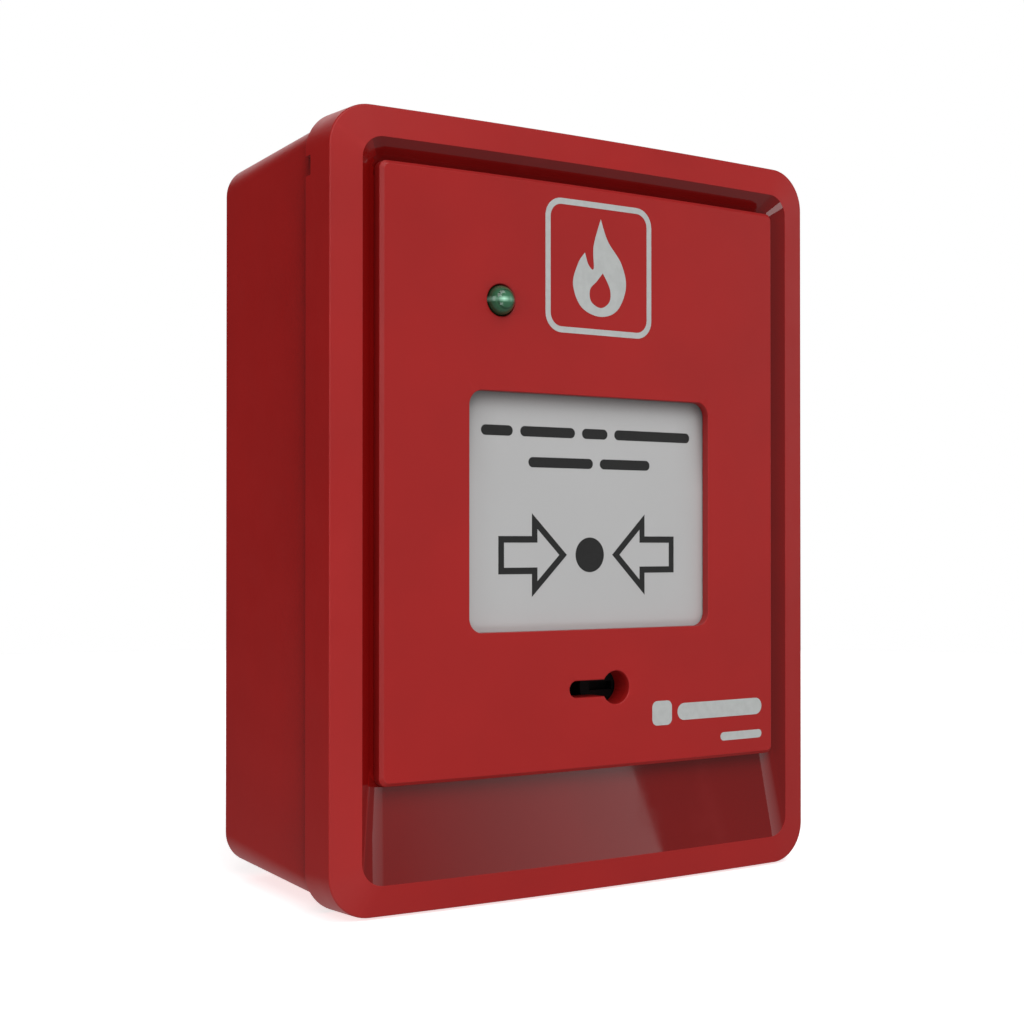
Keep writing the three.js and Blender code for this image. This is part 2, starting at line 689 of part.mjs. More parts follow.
// The square clamp nut that the screw turns in.
function terminalClamp(i) {
  const x = terminalX(i);
  const z = terminalZ();
  const half = TERMINAL.pitch / 2 - 1.1;
  const y0 = PARTS_Y + 2.3;
  const body = block(x - half, x + half, y0, y0 + 3.6, z - half, z + half);
  const wireWay = block(x - half + 0.7, x + half - 0.7, y0 + 0.7, y0 + 2.4, z - 5, z + 5);
  return cut(body, wireWay, rodY(x, z, 1.2 + GAP, y0 + 1.5, y0 + 5, 12));
}

function canCapacitor({ x, z, r, height }) {
  const y0 = PARTS_Y;
  const profile = [
    [0, y0 + height],
    [r - 0.4, y0 + height],
    [r, y0 + height - 0.4],
    [r, y0],
    [0, y0],
  ];
  return turnedY(x, z, profile.toReversed(), 20);
}

// A flat moulded part standing on the board.
function chipPart({ x, z, halfX, halfZ, height }) {
  return block(x - halfX, x + halfX, PARTS_Y, PARTS_Y + height, z - halfZ, z + halfZ);
}

// Address switch: a housing with a row of small sliding levers in its window.
function addressSwitch() {
  const { z, height } = ADDRESS;
  const body = chipPart(ADDRESS);
  const wells = [0, 1, 2, 3].map((i) => {
    const cx = addressX(i);
    return block(cx - 0.8, cx + 0.8, PARTS_Y + height - 1.4, PARTS_Y + height + 1, z - 1.8, z + 1.8);
  });
  return cut(body, ...wells);
}

function addressX(i) {
  return ADDRESS.x + (i - 1.5) * ADDRESS.pitch;
}

function addressSlider(i, up) {
  const cx = addressX(i);
  const top = PARTS_Y + ADDRESS.height;
  const cz = ADDRESS.z + (up ? 0.7 : -0.7);
  return block(cx - 0.5, cx + 0.5, top - 1.1, top - 0.1, cz - 0.7, cz + 0.7);
}

function varistor() {
  const { x, z, r, thick } = VARISTOR;
  const g = new THREE.CylinderGeometry(r, r, thick, 20).rotateZ(Math.PI / 2);
  return solid(g.translate(x, PARTS_Y + r, z));
}

// Square-bodied choke with a round core.
function choke() {
  const { x, z, half, height } = CHOKE;
  const body = chipPart({ x, z, halfX: half, halfZ: half, height });
  const y1 = PARTS_Y + height;
  const groove = turnedY(
    x, z,
    [
      [half - 1.6, y1 - 1],
      [half - 0.6, y1 - 1],
      [half - 0.6, y1 + 1],
      [half - 1.6, y1 + 1],
      [half - 1.6, y1 - 1],
    ],
    20,
  );
  return cut(body, groove);
}

// A cross-recess screw with its head towards the wall and its shank running forward.
function screw(x, z, headY, headR, shankEndY) {
  const head = turnedY(
    x, z,
    [
      [0, headY + 1.5],
      [headR * 0.55, headY + 1.4],
      [headR, headY + 0.5],
      [headR, headY],
      [0, headY],
    ].toReversed(),
    16,
  );
  const shank = rodY(x, z, SCREW_R, shankEndY, headY + 0.3, 12);
  const recess = join(
    block(x - 1.2, x + 1.2, headY + 0.7, headY + 3, z - 0.3, z + 0.3),
    block(x - 0.3, x + 0.3, headY + 0.7, headY + 3, z - 1.2, z + 1.2),
  );
  return cut(join(head, shank), recess);
}

// ---------------------------------------------------------------- assembly

const callPoint = new THREE.Group();
callPoint.name = "manual_call_point";

function add(name, shape, look) {
  const geometry = shape.isBufferGeometry ? shape : geometryOf(shape);
  const mesh = new THREE.Mesh(geometry, LOOK[look]());
  mesh.name = name;
  callPoint.add(mesh);
}

add("back_box", backBox(), "red");
add("cable_grommet", cableGrommet(), "rubber");
add("box_gasket", boxGasket(), "rubber");
add("front_frame", frontFrame(), "red");
add("face_panel", facePanel(), "red");
add("press_plate", pressPlate(), "white");
add("plate_spring_left", plateSpring(-1), "steel");
add("plate_spring_right", plateSpring(1), "steel");
add("chassis", chassis(), "greyPlastic");
add("reset_rotor", resetRotor(), "darkPlastic");
add("latch_slider", latchSlider(), "darkPlastic");
add("latch_spring", latchSpring(), "steel");

add("switch_body", switchBody(), "darkPlastic");
add("switch_lever", switchLever(), "steel");
add("switch_plunger", switchPlunger(), "switchRed");
SWITCH_PINS.forEach((x, i) => add(`switch_pin_${i + 1}`, switchPin(x), "brass"));

add("lamp_lens", lampLens(), "lamp");
add("lamp_lead_left", lampLead(-1), "steel");
add("lamp_lead_right", lampLead(1), "steel");
add("circuit_board", circuitBoard(), "board");

add("terminal_block", terminalBlock(), "terminal");
for (let i = 0; i < TERMINAL.count; i++) {
  add(`terminal_screw_${i + 1}`, terminalScrew(i), "steel");
  add(`terminal_clamp_${i + 1}`, terminalClamp(i), "brass");
}

add("address_switch", addressSwitch(), "switchRed");
for (let i = 0; i < ADDRESS.count; i++) {
  add(`address_slider_${i + 1}`, addressSlider(i, i % 2 === 0), "white");
}
add("microcontroller", chipPart(MICROCONTROLLER), "chip");
add("bus_chip", chipPart(BUS_CHIP), "chip");
add("capacitor_large", canCapacitor(CAPACITOR_LARGE), "can");
add("capacitor_small", canCapacitor(CAPACITOR_SMALL), "can");
add("varistor", varistor(), "ceramic");
add("choke", choke(), "chip");
add("resistor_1", chipPart(RESISTOR_LEFT), "chip");
add("resistor_2", chipPart(RESISTOR_RIGHT), "chip");
add("diode", chipPart(DIODE), "chip");

let screwNumber = 0;
for (const z of PANEL_POST_Z) {
  for (const side of [-1, 1]) {
    screwNumber += 1;
    const x = side * PANEL_POST_X;
    const headY = CHASSIS.backY + GAP;
    add(`panel_screw_${screwNumber}`, screw(x, z, headY, 2.4, CHASSIS.frontY - 5), "steel");
  }
}
BOARD_POSTS.forEach(([x, z], i) => {
  add(`board_screw_${i + 1}`, screw(x, z, BOARD.backY + GAP, 2.2, BOARD.frontY - 5), "steel");
});

export default callPoint;
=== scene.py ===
"""Looks for the manual call point: fine moulded shells, printed marks, a tinted lamp and wound
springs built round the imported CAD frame. Shapes are worked out in millimetres and made in metres."""
import math

import bpy
import bmesh
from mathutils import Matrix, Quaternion, Vector
from mathutils.geometry import delaunay_2d_cdt

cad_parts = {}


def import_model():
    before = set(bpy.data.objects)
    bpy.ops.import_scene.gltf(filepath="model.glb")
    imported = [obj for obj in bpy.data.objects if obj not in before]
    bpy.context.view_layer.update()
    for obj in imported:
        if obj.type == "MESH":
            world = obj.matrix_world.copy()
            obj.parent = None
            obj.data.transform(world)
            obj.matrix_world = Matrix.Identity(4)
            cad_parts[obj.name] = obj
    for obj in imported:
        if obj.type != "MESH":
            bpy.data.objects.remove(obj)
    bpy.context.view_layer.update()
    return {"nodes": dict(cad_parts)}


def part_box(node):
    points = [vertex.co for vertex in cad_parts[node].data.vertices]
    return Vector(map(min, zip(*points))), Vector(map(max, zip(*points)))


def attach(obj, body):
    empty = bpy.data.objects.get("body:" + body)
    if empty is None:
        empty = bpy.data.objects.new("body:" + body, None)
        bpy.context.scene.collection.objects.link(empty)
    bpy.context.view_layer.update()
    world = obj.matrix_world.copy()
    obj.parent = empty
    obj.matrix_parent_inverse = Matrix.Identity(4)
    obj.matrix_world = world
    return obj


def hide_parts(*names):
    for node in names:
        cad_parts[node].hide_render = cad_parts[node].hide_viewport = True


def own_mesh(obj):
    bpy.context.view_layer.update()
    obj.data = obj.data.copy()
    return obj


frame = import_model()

MM = 0.001


def link(obj):
    """Puts an object in the scene."""
    bpy.context.scene.collection.objects.link(obj)


def box_mm(node):
    """Lowest and highest corner of a CAD node, in millimetres."""
    low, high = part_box(node)
    return low / MM, high / MM


# ---- sizes, in millimetres

FRAME_LOW, FRAME_HIGH = box_mm("front_frame")
PANEL_LOW, PANEL_HIGH = box_mm("face_panel")
PLATE_LOW, PLATE_HIGH = box_mm("press_plate")
BOX_LOW, BOX_HIGH = box_mm("back_box")
LAMP_LOW, LAMP_HIGH = box_mm("lamp_lens")
ROTOR_LOW, ROTOR_HIGH = box_mm("reset_rotor")
GROMMET_LOW, GROMMET_HIGH = box_mm("cable_grommet")

DRAFT = 0.4  # the frame is this much taller at the rear
HALF_W = FRAME_HIGH.x
HALF_H = FRAME_HIGH.z - DRAFT
BULGE = 1.5  # the middle of the front stands out by this much
FRONT_Y = PANEL_LOW.y + BULGE  # front edge of the frame at its two sides
REAR_Y = -33.15
RIM_BACK_Y = -38.6
WALL = 2.4
DISH_DEPTH = 2.5
RIM_DROP = 0.92
PANEL_DEPTH = 2.2
PANEL_SKIN = 1.46
PLATE_DEPTH = PLATE_LOW.y - PANEL_LOW.y  # the plate's face behind the panel's face
PLATE_BACK_Y = -39.6
QUARTERS = [(side, level) for side in (-1, 1) for level in (-1, 1)]
HOOK_END_Y = -25.0
HOOK_X = 20.0  # the hooks stand this far from the middle
HOOK_HALF = 4.0
HOOK_ARM = (53.2, 54.9)  # heights of a hook's arm
HOOK_BARB = 56.0  # height of its barb
POCKET_GAP = 0.6  # room beside a hook in its pocket
POCKET_Y = (-28.2, -24.0)
POCKET_Z = (54.7, 56.3)
NOTCH_Z = (50.0, 53.0)  # slot in the frame's rear edge, for prying it off
NOTCH_DEPTH = 1.8
DISH_FLOOR = (7.53, 7.5, 19.6)  # where the dish's walls end: side, top, bottom
DISH_EDGE = (4.78, 4.75, 4.7)  # where they start, on the crest of the rim
DISH_REACH = (HALF_W - 4.75, -55.35, 55.3)  # the dish's painted shade, a darker copy of the red, ends here: side, bottom, top
LEFT_WALL_END = 7.6 - HALF_W
STRIP_END = 9.6 - HALF_W  # the dish's floor along its left wall ends here, given the paler copy as painted light
STRIP_Z = (-41.0, 47.0)
WINDOW = (-23.33, 23.33, -18.57, 18.54)
WINDOW_CORNER = 2.3
LAMP_X = (LAMP_LOW.x + LAMP_HIGH.x) / 2
LAMP_Z = (LAMP_LOW.z + LAMP_HIGH.z) / 2
LAMP_R = 2.36
LAMP_COLLAR_END_Y = -40.1
KEY_X = (ROTOR_LOW.x + ROTOR_HIGH.x) / 2
KEY_Z = (ROTOR_LOW.z + ROTOR_HIGH.z) / 2
KEY_R = 2.66
KEY_SLOT_END = -5.05
KEY_SLOT_HALF = 1.33
KEY_WALL = 1.2  # thickness of the walls that line the keyhole
KEY_BOSS_END_Y = -39.6
ROTOR_COLLAR_END_Y = -38.1
STUD_X = 20.0  # the plate's two studs, inside its springs
LEVER_RIB_END_Y = -33.975  # the rib that pushes the switch's lever
CATCH_RIB_END_Y = -37.5  # the rib that the latch catches
BOX_FRONT_Y = -32.8
BOX_FLOOR_Y = -2.4
BOX_LIP_TOP = 57.25
BOX_LIP_SIDE = 43.25
BOX_INSIDE_TOP = 55.2
BOX_INSIDE_SIDE = 41.5
BOX_DRAFT = 0.45
CABLE_Z = 28.0
KNOCKOUT_Y = -16.5  # middle of the knock-outs in the top and the bottom
WALL_SCREW_X = 30.15
BOARD_BACK_Y = -24.6
POSTS = [(x, z) for z in (43.5, -32.5) for x in (-30.3, 30.3)]


def bulge(x):
    """How far the front stands out at x."""
    return BULGE * (1 - (x / HALF_W) ** 2)


# ---- camera and floor

CAMERA_AT = Vector((-153.7, -257.2, -5.0)) * MM
CAMERA_YAW = math.radians(-32.83)
CAMERA_PITCH = 0.008
CAMERA_LENS = 58.008
CAMERA_SHIFT_Y = 19 / 1024


def make_camera():
    data = bpy.data.cameras.new("view")
    data.sensor_width = 36.0
    data.lens = CAMERA_LENS
    data.shift_y = CAMERA_SHIFT_Y
    data.clip_start = 0.01
    cam = bpy.data.objects.new("view", data)
    cam.location = CAMERA_AT
    cam.rotation_euler = (math.pi / 2 + CAMERA_PITCH, 0.0, CAMERA_YAW)
    link(cam)
    bpy.context.scene.camera = cam


make_camera()

# ---- mesh building


class Build:
    """Vertices in millimetres and faces of one mesh."""

    def __init__(self):
        self.verts = []
        self.faces = []

    def add(self, points):
        start = len(self.verts)
        self.verts.extend(Vector(p) for p in points)
        return list(range(start, len(self.verts)))

    def skin(self, a, b):
        """Quads between two closed loops of indices."""
        n = len(a)
        for i in range(n):
            k = (i + 1) % n
            self.faces.append((a[i], a[k], b[k], b[i]))

    def tube(self, rings, closed=False):
        """A skin over rings of points, each ring closed. Returns the rings' indices."""
        loops = [self.add(r) for r in rings]
        for a, b in zip(loops, loops[1:]):
            self.skin(a, b)
        if closed:
            self.skin(loops[-1], loops[0])
        return loops

    def cap(self, outline, holes, height, step=(3.0, 6.0)):
        """A sheet inside outline, outside holes, lifted to y by height(x, z)."""
        outline, *holes = ([(p[0], p[-1]) for p in loop] for loop in (outline, *holes))
        triangles, points = triangulate(outline, holes, step)
        ids = self.add([(p[0], height(p[0], p[1]), p[1]) for p in points])
        self.faces.extend(tuple(ids[i] for i in t) for t in triangles)

    def mesh(self, name, weld=1e-4):
        data = bpy.data.meshes.new(name)
        data.from_pydata([v * MM for v in self.verts], [], self.faces)
        bm = bmesh.new()
        bm.from_mesh(data)
        bmesh.ops.remove_doubles(bm, verts=bm.verts, dist=weld * MM)
        bmesh.ops.dissolve_degenerate(bm, edges=bm.edges, dist=1e-8)
        bmesh.ops.recalc_face_normals(bm, faces=bm.faces)
        bm.to_mesh(data)
        bm.free()
        return data


def inside(point, loop):
    x, z = point
    hit = False
    j = len(loop) - 1
    for i in range(len(loop)):
        xi, zi = loop[i]
        xj, zj = loop[j]
        if (zi > z) != (zj > z) and x < (xj - xi) * (z - zi) / (zj - zi) + xi:
            hit = not hit
        j = i
    return hit


def triangulate(outline, holes, step):
    """Triangles of the region inside outline and outside holes, with a grid of inner points."""
    loops = [outline, *holes]
    points = []
    edges = []
    for loop in loops:
        start = len(points)
        points.extend(loop)
        n = len(loop)
        edges.extend((start + i, start + (i + 1) % n) for i in range(n))
    rim = list(points)
    xs, zs = zip(*outline)
    x0, x1, z0, z1 = min(xs), max(xs), min(zs), max(zs)
    near = 0.35 * min(step)
    nx = max(1, round((x1 - x0) / step[0]))
    nz = max(1, round((z1 - z0) / step[1]))

    def covered(point):
        return inside(point, outline) and not any(inside(point, h) for h in holes)

    for i in range(1, nx):
        x = x0 + (x1 - x0) * i / nx
        for k in range(1, nz):
            z = z0 + (z1 - z0) * k / nz
            if covered((x, z)) and min((x - p[0]) ** 2 + (z - p[1]) ** 2 for p in rim) > near * near:
                points.append((x, z))
    made = delaunay_2d_cdt([Vector(p) for p in points], edges, [], 1, 1e-6)
    verts, triangles = made[0], made[2]
    kept = []
    for t in triangles:
        if covered(sum((verts[i] for i in t), Vector((0, 0))) / len(t)):
            kept.append(tuple(t))
    return kept, [tuple(v) for v in verts]


def rounded(x0, x1, z0, z1, r, corner=12, across=24, up=10):
    """A rounded rectangle as an (x, z) loop with a fixed count of points."""
    r = max(r, 1e-3)
    loop = []
    arcs = (
        (x1 - r, z1 - r, 0.0), (x0 + r, z1 - r, 90.0), (x0 + r, z0 + r, 180.0), (x1 - r, z0 + r, 270.0),
    )
    for q, (cx, cz, start) in enumerate(arcs):
        for i in range(corner + 1):
            a = math.radians(start + 90.0 * i / corner)
            loop.append((cx + r * math.cos(a), cz + r * math.sin(a)))
        nx, nz, _ = arcs[(q + 1) % 4]
        end = math.radians(start + 90.0)
        last = loop[-1]
        goal = (nx + r * math.cos(end), nz + r * math.sin(end))
        count = across if q % 2 == 0 else up
        for i in range(1, count):
            t = i / count
            loop.append(tuple(p + (q - p) * t for p, q in zip(last, goal)))
    return loop


def circle(x, z, r, count=64):
    turn = 2 * math.pi / count
    angles = (turn * i for i in range(count))
    return [(x + r * math.cos(a), z + r * math.sin(a)) for a in angles]


def fillet(a, b, c, radius, steps):
    """Points of an arc that rounds the corner b of the path a-b-c, with each one's share of the
    way back towards a (below zero) or on towards c (above zero)."""
    u, v = a - b, c - b
    lu, lv = u.length, v.length
    unrounded = [(b, 0.0)] * (steps + 1)
    if radius <= 0 or lu < 1e-6 or lv < 1e-6:
        return unrounded
    u, v = u / lu, v / lv
    angle = math.acos(max(-1.0, min(1.0, u.dot(v))))
    if angle > math.pi - 1e-3:
        return unrounded
    reach = min(radius / math.tan(angle / 2), 0.48 * lu, 0.48 * lv)
    r = reach * math.tan(angle / 2)
    centre = b + (u + v).normalized() * (r / math.sin(angle / 2))
    p, q = b + u * reach - centre, b + v * reach - centre
    total = math.pi - angle
    out = []
    for i in range(steps + 1):
        t = i / steps
        point = (p * math.sin((1 - t) * total) + q * math.sin(t * total)) / math.sin(total)
        out.append((centre + point, (t - 1) * reach / lu if t < 0.5 else t * reach / lv))
    return out


def soften(profile, closed=False, steps=4):
    """Rounds a section. Each entry is (side, top, bottom, y, follows, corner, radius): the three
    insets from the outline, the depth, the share of the front's bulge that it follows, the corner
    radius of its loop and the radius of its edge. Returns rows of the same form per ring."""
    rows = []
    last = len(profile) - 1
    for k, here in enumerate(profile):
        side, top, bottom, y, follows, corner, radius = here
        if not closed and k in (0, last) or radius <= 0:
            rows.append((side, y, top, y, bottom, y, follows, corner))
            continue
        back, on = profile[k - 1], profile[0 if k == last else k + 1]
        arcs = []
        for axis in (0, 1, 2):
            path = [Vector((p[axis], p[3])) for p in (back, here, on)]
            arcs.append(fillet(*path, radius, steps))
        for i in range(steps + 1):
            share = arcs[0][i][1]
            other = back if share < 0 else on
            row = []
            for arc in arcs:
                row += [arc[i][0].x, arc[i][0].y]
            for start, end in ((follows, other[4]), (corner, other[5])):
                row.append(start + (end - start) * abs(share))
            rows.append(tuple(row))
    return rows


def ring(row, half, top, bottom, corner=16, across=28, up=12):
    """The loop of one row of a softened section, inset from the outline, as 3-D points."""
    side_in, side_y, top_in, top_y, bottom_in, bottom_y, follow, r = row
    x1, z1, z0 = half - side_in, top - top_in, bottom + bottom_in
    loop = rounded(-x1, x1, z0, z1, r, corner, across, up)
    points = []
    for x, z in loop:
        up_share = blend_share((z - (z1 - r)) / r, (abs(x) - (x1 - r)) / r)
        down_share = blend_share(((z0 + r) - z) / r, (abs(x) - (x1 - r)) / r)
        y = side_y + (top_y - side_y) * up_share + (bottom_y - side_y) * down_share
        points.append((x, y - follow * bulge(x), z))
    return points


def blend_share(rise, side):
    """0 on the side of a rounded corner, 1 on its top or bottom edge."""
    if rise <= 0:
        return 0.0
    if side <= 0:
        return 1.0
    return math.atan2(min(rise, 1.0), min(side, 1.0)) / (math.pi / 2)


def refine(rows, wide, deep, count):
    """Adds rings between rows that lie further apart than wide in inset or deep in depth."""
    out = []
    for a, b in zip(rows, rows[1:]):
        out.append(a)
        if abs(a[0] - b[0]) > wide or abs(a[1] - b[1]) > deep:
            out += [tuple(p + (q - p) * i / count for p, q in zip(a, b)) for i in range(1, count)]
    return [*out, rows[-1]]


def turned(build, x, z, profile, count=64):
    """A turned solid about an axis along Y, from (radius, y) points, closed at the axis."""
    rings = []
    for r, y in profile:
        rings.append([(px, y, pz) for px, pz in circle(x, z, max(r, 1e-5), count)])
    build.tube(rings)


def rounded_profile(points, steps=4):
    """Rounds (radius, y, edge radius) points of a turned profile."""
    out = []
    for k, (r, y, edge) in enumerate(points):
        if edge <= 0 or k in (0, len(points) - 1):
            out.append((r, y))
            continue
        path = [Vector(points[i][:2]) for i in (k - 1, k, k + 1)]
        out += [tuple(p) for p, _ in fillet(*path, edge, steps)]
    return out


def soft_block(build, x0, x1, y0, y1, z0, z1, edge):
    """A block with rounded edges."""
    bm = bmesh.new()
    bmesh.ops.create_cube(bm, size=1.0)
    size = Vector((x1 - x0, y1 - y0, z1 - z0))
    middle = Vector((x0 + x1, y0 + y1, z0 + z1)) / 2
    for v in bm.verts:
        v.co = Vector(a * b for a, b in zip(v.co, size)) + middle
    edge = min(edge, 0.45 * min(size))
    bmesh.ops.bevel(bm, geom=bm.edges[:], offset=edge, segments=2, profile=0.5, affect="EDGES")
    bm.verts.index_update()
    ids = build.add([v.co for v in bm.verts])
    build.faces.extend(tuple(ids[v.index] for v in f.verts) for f in bm.faces)
    bm.free()


def prism(build, outline, holes, y_front, y_back, step):
    """A closed plate of a flat (x, z) outline between two depth functions."""
    build.cap(outline, holes, lambda x, z: y_front(x), step)
    build.cap(outline, holes, lambda x, z: y_back(x), step)
    for loop in (outline, *holes):
        build.tube([[(x, y_front(x), z) for x, z in loop], [(x, y_back(x), z) for x, z in loop]])


# ---- pieces


def piece(name, build, body, material, replaced=(), sharp=35.0, weighted=True):
    """Makes the object of a built mesh, rides it on its body and gives it its finish."""
    data = build.mesh(name) if isinstance(build, Build) else build
    obj = bpy.data.objects.new(name, data)
    link(obj)
    data.shade_smooth()
    data.set_sharp_from_angle(angle=math.radians(sharp))
    if weighted:
        level = obj.modifiers.new("face_weights", "WEIGHTED_NORMAL")
        level.keep_sharp = True
        level.weight = 70
    data.materials.clear()
    data.materials.append(MATS[material])
    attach(obj, body)
    if replaced:
        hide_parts(*replaced)
    return obj


def carve(obj, tool):
    """Cuts a closed mesh out of a piece and drops the cutter."""
    cutter = bpy.data.objects.new("cutter", tool.mesh("cutter"))
    link(cutter)
    mod = obj.modifiers.new("carve", "BOOLEAN")
    mod.operation = "DIFFERENCE"
    mod.solver = "EXACT"
    mod.object = cutter
    bpy.context.view_layer.update()
    graph = bpy.context.evaluated_depsgraph_get()
    fresh = bpy.data.meshes.new_from_object(obj.evaluated_get(graph))
    obj.modifiers.remove(mod)
    old = obj.data
    obj.data = fresh
    bpy.data.meshes.remove(old)
    bpy.data.objects.remove(cutter)


# ---- materials


class Tree:
    """A small helper to wire the nodes of one tree."""

    def __init__(self, tree):
        self.tree = tree
        self.link = tree.links.new

    def node(self, kind):
        return self.tree.nodes.new("ShaderNode" + kind)

    def put(self, value, slot):
        """Feeds a number, a colour or another node's output into an input."""
        if isinstance(value, (int, float)):
            slot.default_value = value
        elif isinstance(value, (tuple, list)):
            slot.default_value = (*value[:3], 1.0)
        else:
            self.link(value, slot)

    def split(self, vector):
        """The X, Y and Z of a vector."""
        node = self.node("SeparateXYZ")
        self.link(vector, node.inputs["Vector"])
        return node.outputs

    def ranged(self, value, *limits, curve="LINEAR"):
        """A value mapped from one range to another."""
        node = self.node("MapRange")
        node.interpolation_type = curve
        for label, number in zip(("From Min", "From Max", "To Min", "To Max"), limits):
            node.inputs[label].default_value = number
        self.link(value, node.inputs["Value"])
        return node.outputs["Result"]

    def math(self, kind, a, b):
        node = self.node("Math")
        node.operation = kind
        self.put(a, node.inputs[0])
        self.put(b, node.inputs[1])
        return node.outputs[0]


class Nodes(Tree):
    """The nodes of one material."""

    def __init__(self, name):
        self.mat = bpy.data.materials.new(name)
        self.mat.use_nodes = True
        super().__init__(self.mat.node_tree)
        self.bsdf = self.tree.nodes["Principled BSDF"]
        self.coords = self.node("TexCoord").outputs["Object"]

    def noise(self, scale, detail=2.0, rough=0.5, at=None):
        node = self.node("TexNoise")
        node.inputs["Scale"].default_value = scale
        node.inputs["Detail"].default_value = detail
        node.inputs["Roughness"].default_value = rough
        self.link(at or self.coords, node.inputs["Vector"])
        return node.outputs["Fac"]

    def mix(self, factor, a, b):
        node = self.node("Mix")
        node.data_type = "RGBA"
        self.link(factor, node.inputs["Factor"])
        self.put(a, node.inputs["A"])
        self.put(b, node.inputs["B"])
        return node.outputs["Result"]

    def wear(self):
        """1 on convex edges, 0 on faces."""
        pointed = self.node("NewGeometry").outputs["Pointiness"]
        return self.ranged(pointed, 0.53, 0.62, 0.0, 1.0)

    def painted_crevice_shade(self, reach, low, dark):
        """Painted shade: 1 on open faces, falling to dark in corners and narrow gaps, from ambient
        occlusion.
        """
        node = self.node("AmbientOcclusion")
        node.samples = 12
        node.inputs["Distance"].default_value = reach
        return self.ranged(node.outputs["AO"], low, 1.0, dark, 1.0)

    def painted_shadow_from_above(self, reach, low, dark, z_from, z_to):
        """Painted shadow from above: painted shade of corners and gaps, with no darkening below z_from
        and all of it from z_to upwards.
        """
        height = self.split(self.coords)["Z"]
        share = self.ranged(height, z_from, z_to, 0.0, 1.0 - dark)
        closed = self.math("SUBTRACT", 1.0, self.painted_crevice_shade(reach, low, 0.0))
        return self.math("SUBTRACT", 1.0, self.math("MULTIPLY", share, closed))

    def shaded(self, colour, factor):
        node = self.node("VectorMath")
        node.operation = "SCALE"
        self.link(colour, node.inputs[0])
        self.link(factor, node.inputs["Scale"])
        return node.outputs["Vector"]

    def bump(self, height, distance, strength=1.0, under=None):
        node = self.node("Bump")
        node.inputs["Strength"].default_value = strength
        node.inputs["Distance"].default_value = distance
        self.link(height, node.inputs["Height"])
        if under is not None:
            self.link(under, node.inputs["Normal"])
        return node.outputs["Normal"]

    def to(self, socket, value):
        self.put(value, self.bsdf.inputs[socket])


def tones(colour, vary):
    """A darker and a paler tone of a colour."""
    return tuple(c * (1 - vary) for c in colour), tuple(min(1.0, c * (1 + vary)) for c in colour)


def moulded(name, colour, rough=0.3, vary=0.05, grain=900.0, depth=4e-6, edge=1.25, specular=0.5,
            painted_crevice_shade=0.0, gap=(0.006, 0.55), above=None):
    """Moulded plastic: faint tone drift, a fine sparked grain, and paler rubbed edges, with painted
    shade darkening its colour in corners and narrow gaps when asked for.
    """
    n = Nodes(name)
    dark, pale = tones(colour, vary)
    worn = tuple(min(1.0, c * edge + 0.004) for c in colour)
    drift = n.ranged(n.noise(55.0, 3.0), 0.3, 0.7, 0.0, 1.0)
    body = n.mix(drift, dark, pale)
    rub = n.math("MULTIPLY", n.wear(), n.ranged(n.noise(240.0, 3.0), 0.35, 0.65, 0.2, 0.8))
    tone = n.mix(rub, body, worn)
    # painted shade: the colour is darkened by ambient occlusion in corners and narrow gaps, only from a
    # given height upwards when above is set
    if above:
        tone = n.shaded(tone, n.painted_shadow_from_above(*gap, 1.0 - painted_crevice_shade, *above))
    elif painted_crevice_shade > 0:
        tone = n.shaded(tone, n.painted_crevice_shade(*gap, 1.0 - painted_crevice_shade))
    n.to("Base Color", tone)
    n.to("Roughness", n.ranged(n.noise(140.0, 4.0, 0.6), 0.25, 0.75, rough - 0.035, rough + 0.045))
    n.to("Specular IOR Level", specular)
    fine = n.bump(n.noise(grain * 6, 1.0), depth)
    n.to("Normal", n.bump(n.noise(grain), depth * 2, under=fine))
    return n.mat


def brushed(name, colour, rough=0.28, stretch=(4000.0, 4000.0, 300.0), metal=1.0, vary=0.08):
    """Drawn or plated metal with fine directional marks."""
    n = Nodes(name)
    mapping = n.node("Mapping")
    mapping.inputs["Scale"].default_value = stretch
    n.link(n.coords, mapping.inputs["Vector"])
    grain = n.noise(1.0, 3.0, at=mapping.outputs["Vector"])
    dark, pale = tones(colour, vary)
    n.to("Base Color", n.mix(grain, dark, pale))
    n.to("Metallic", metal)
    n.to("Roughness", n.ranged(grain, 0.3, 0.7, rough - 0.06, rough + 0.08))
    n.to("Normal", n.bump(grain, 3e-6, 0.5))
    return n.mat


def printed(name, colour, rough=0.45):
    """Screen-printed ink: slightly uneven cover and a dry face."""
    n = Nodes(name)
    thin = tuple(c * 0.93 for c in colour)
    n.to("Base Color", n.mix(n.ranged(n.noise(900.0, 3.0), 0.35, 0.65, 0.0, 1.0), thin, colour))
    n.to("Roughness", n.ranged(n.noise(1500.0), 0.3, 0.7, rough - 0.05, rough + 0.06))
    n.to("Normal", n.bump(n.noise(5000.0, 1.0), 2e-6, 0.6))
    return n.mat


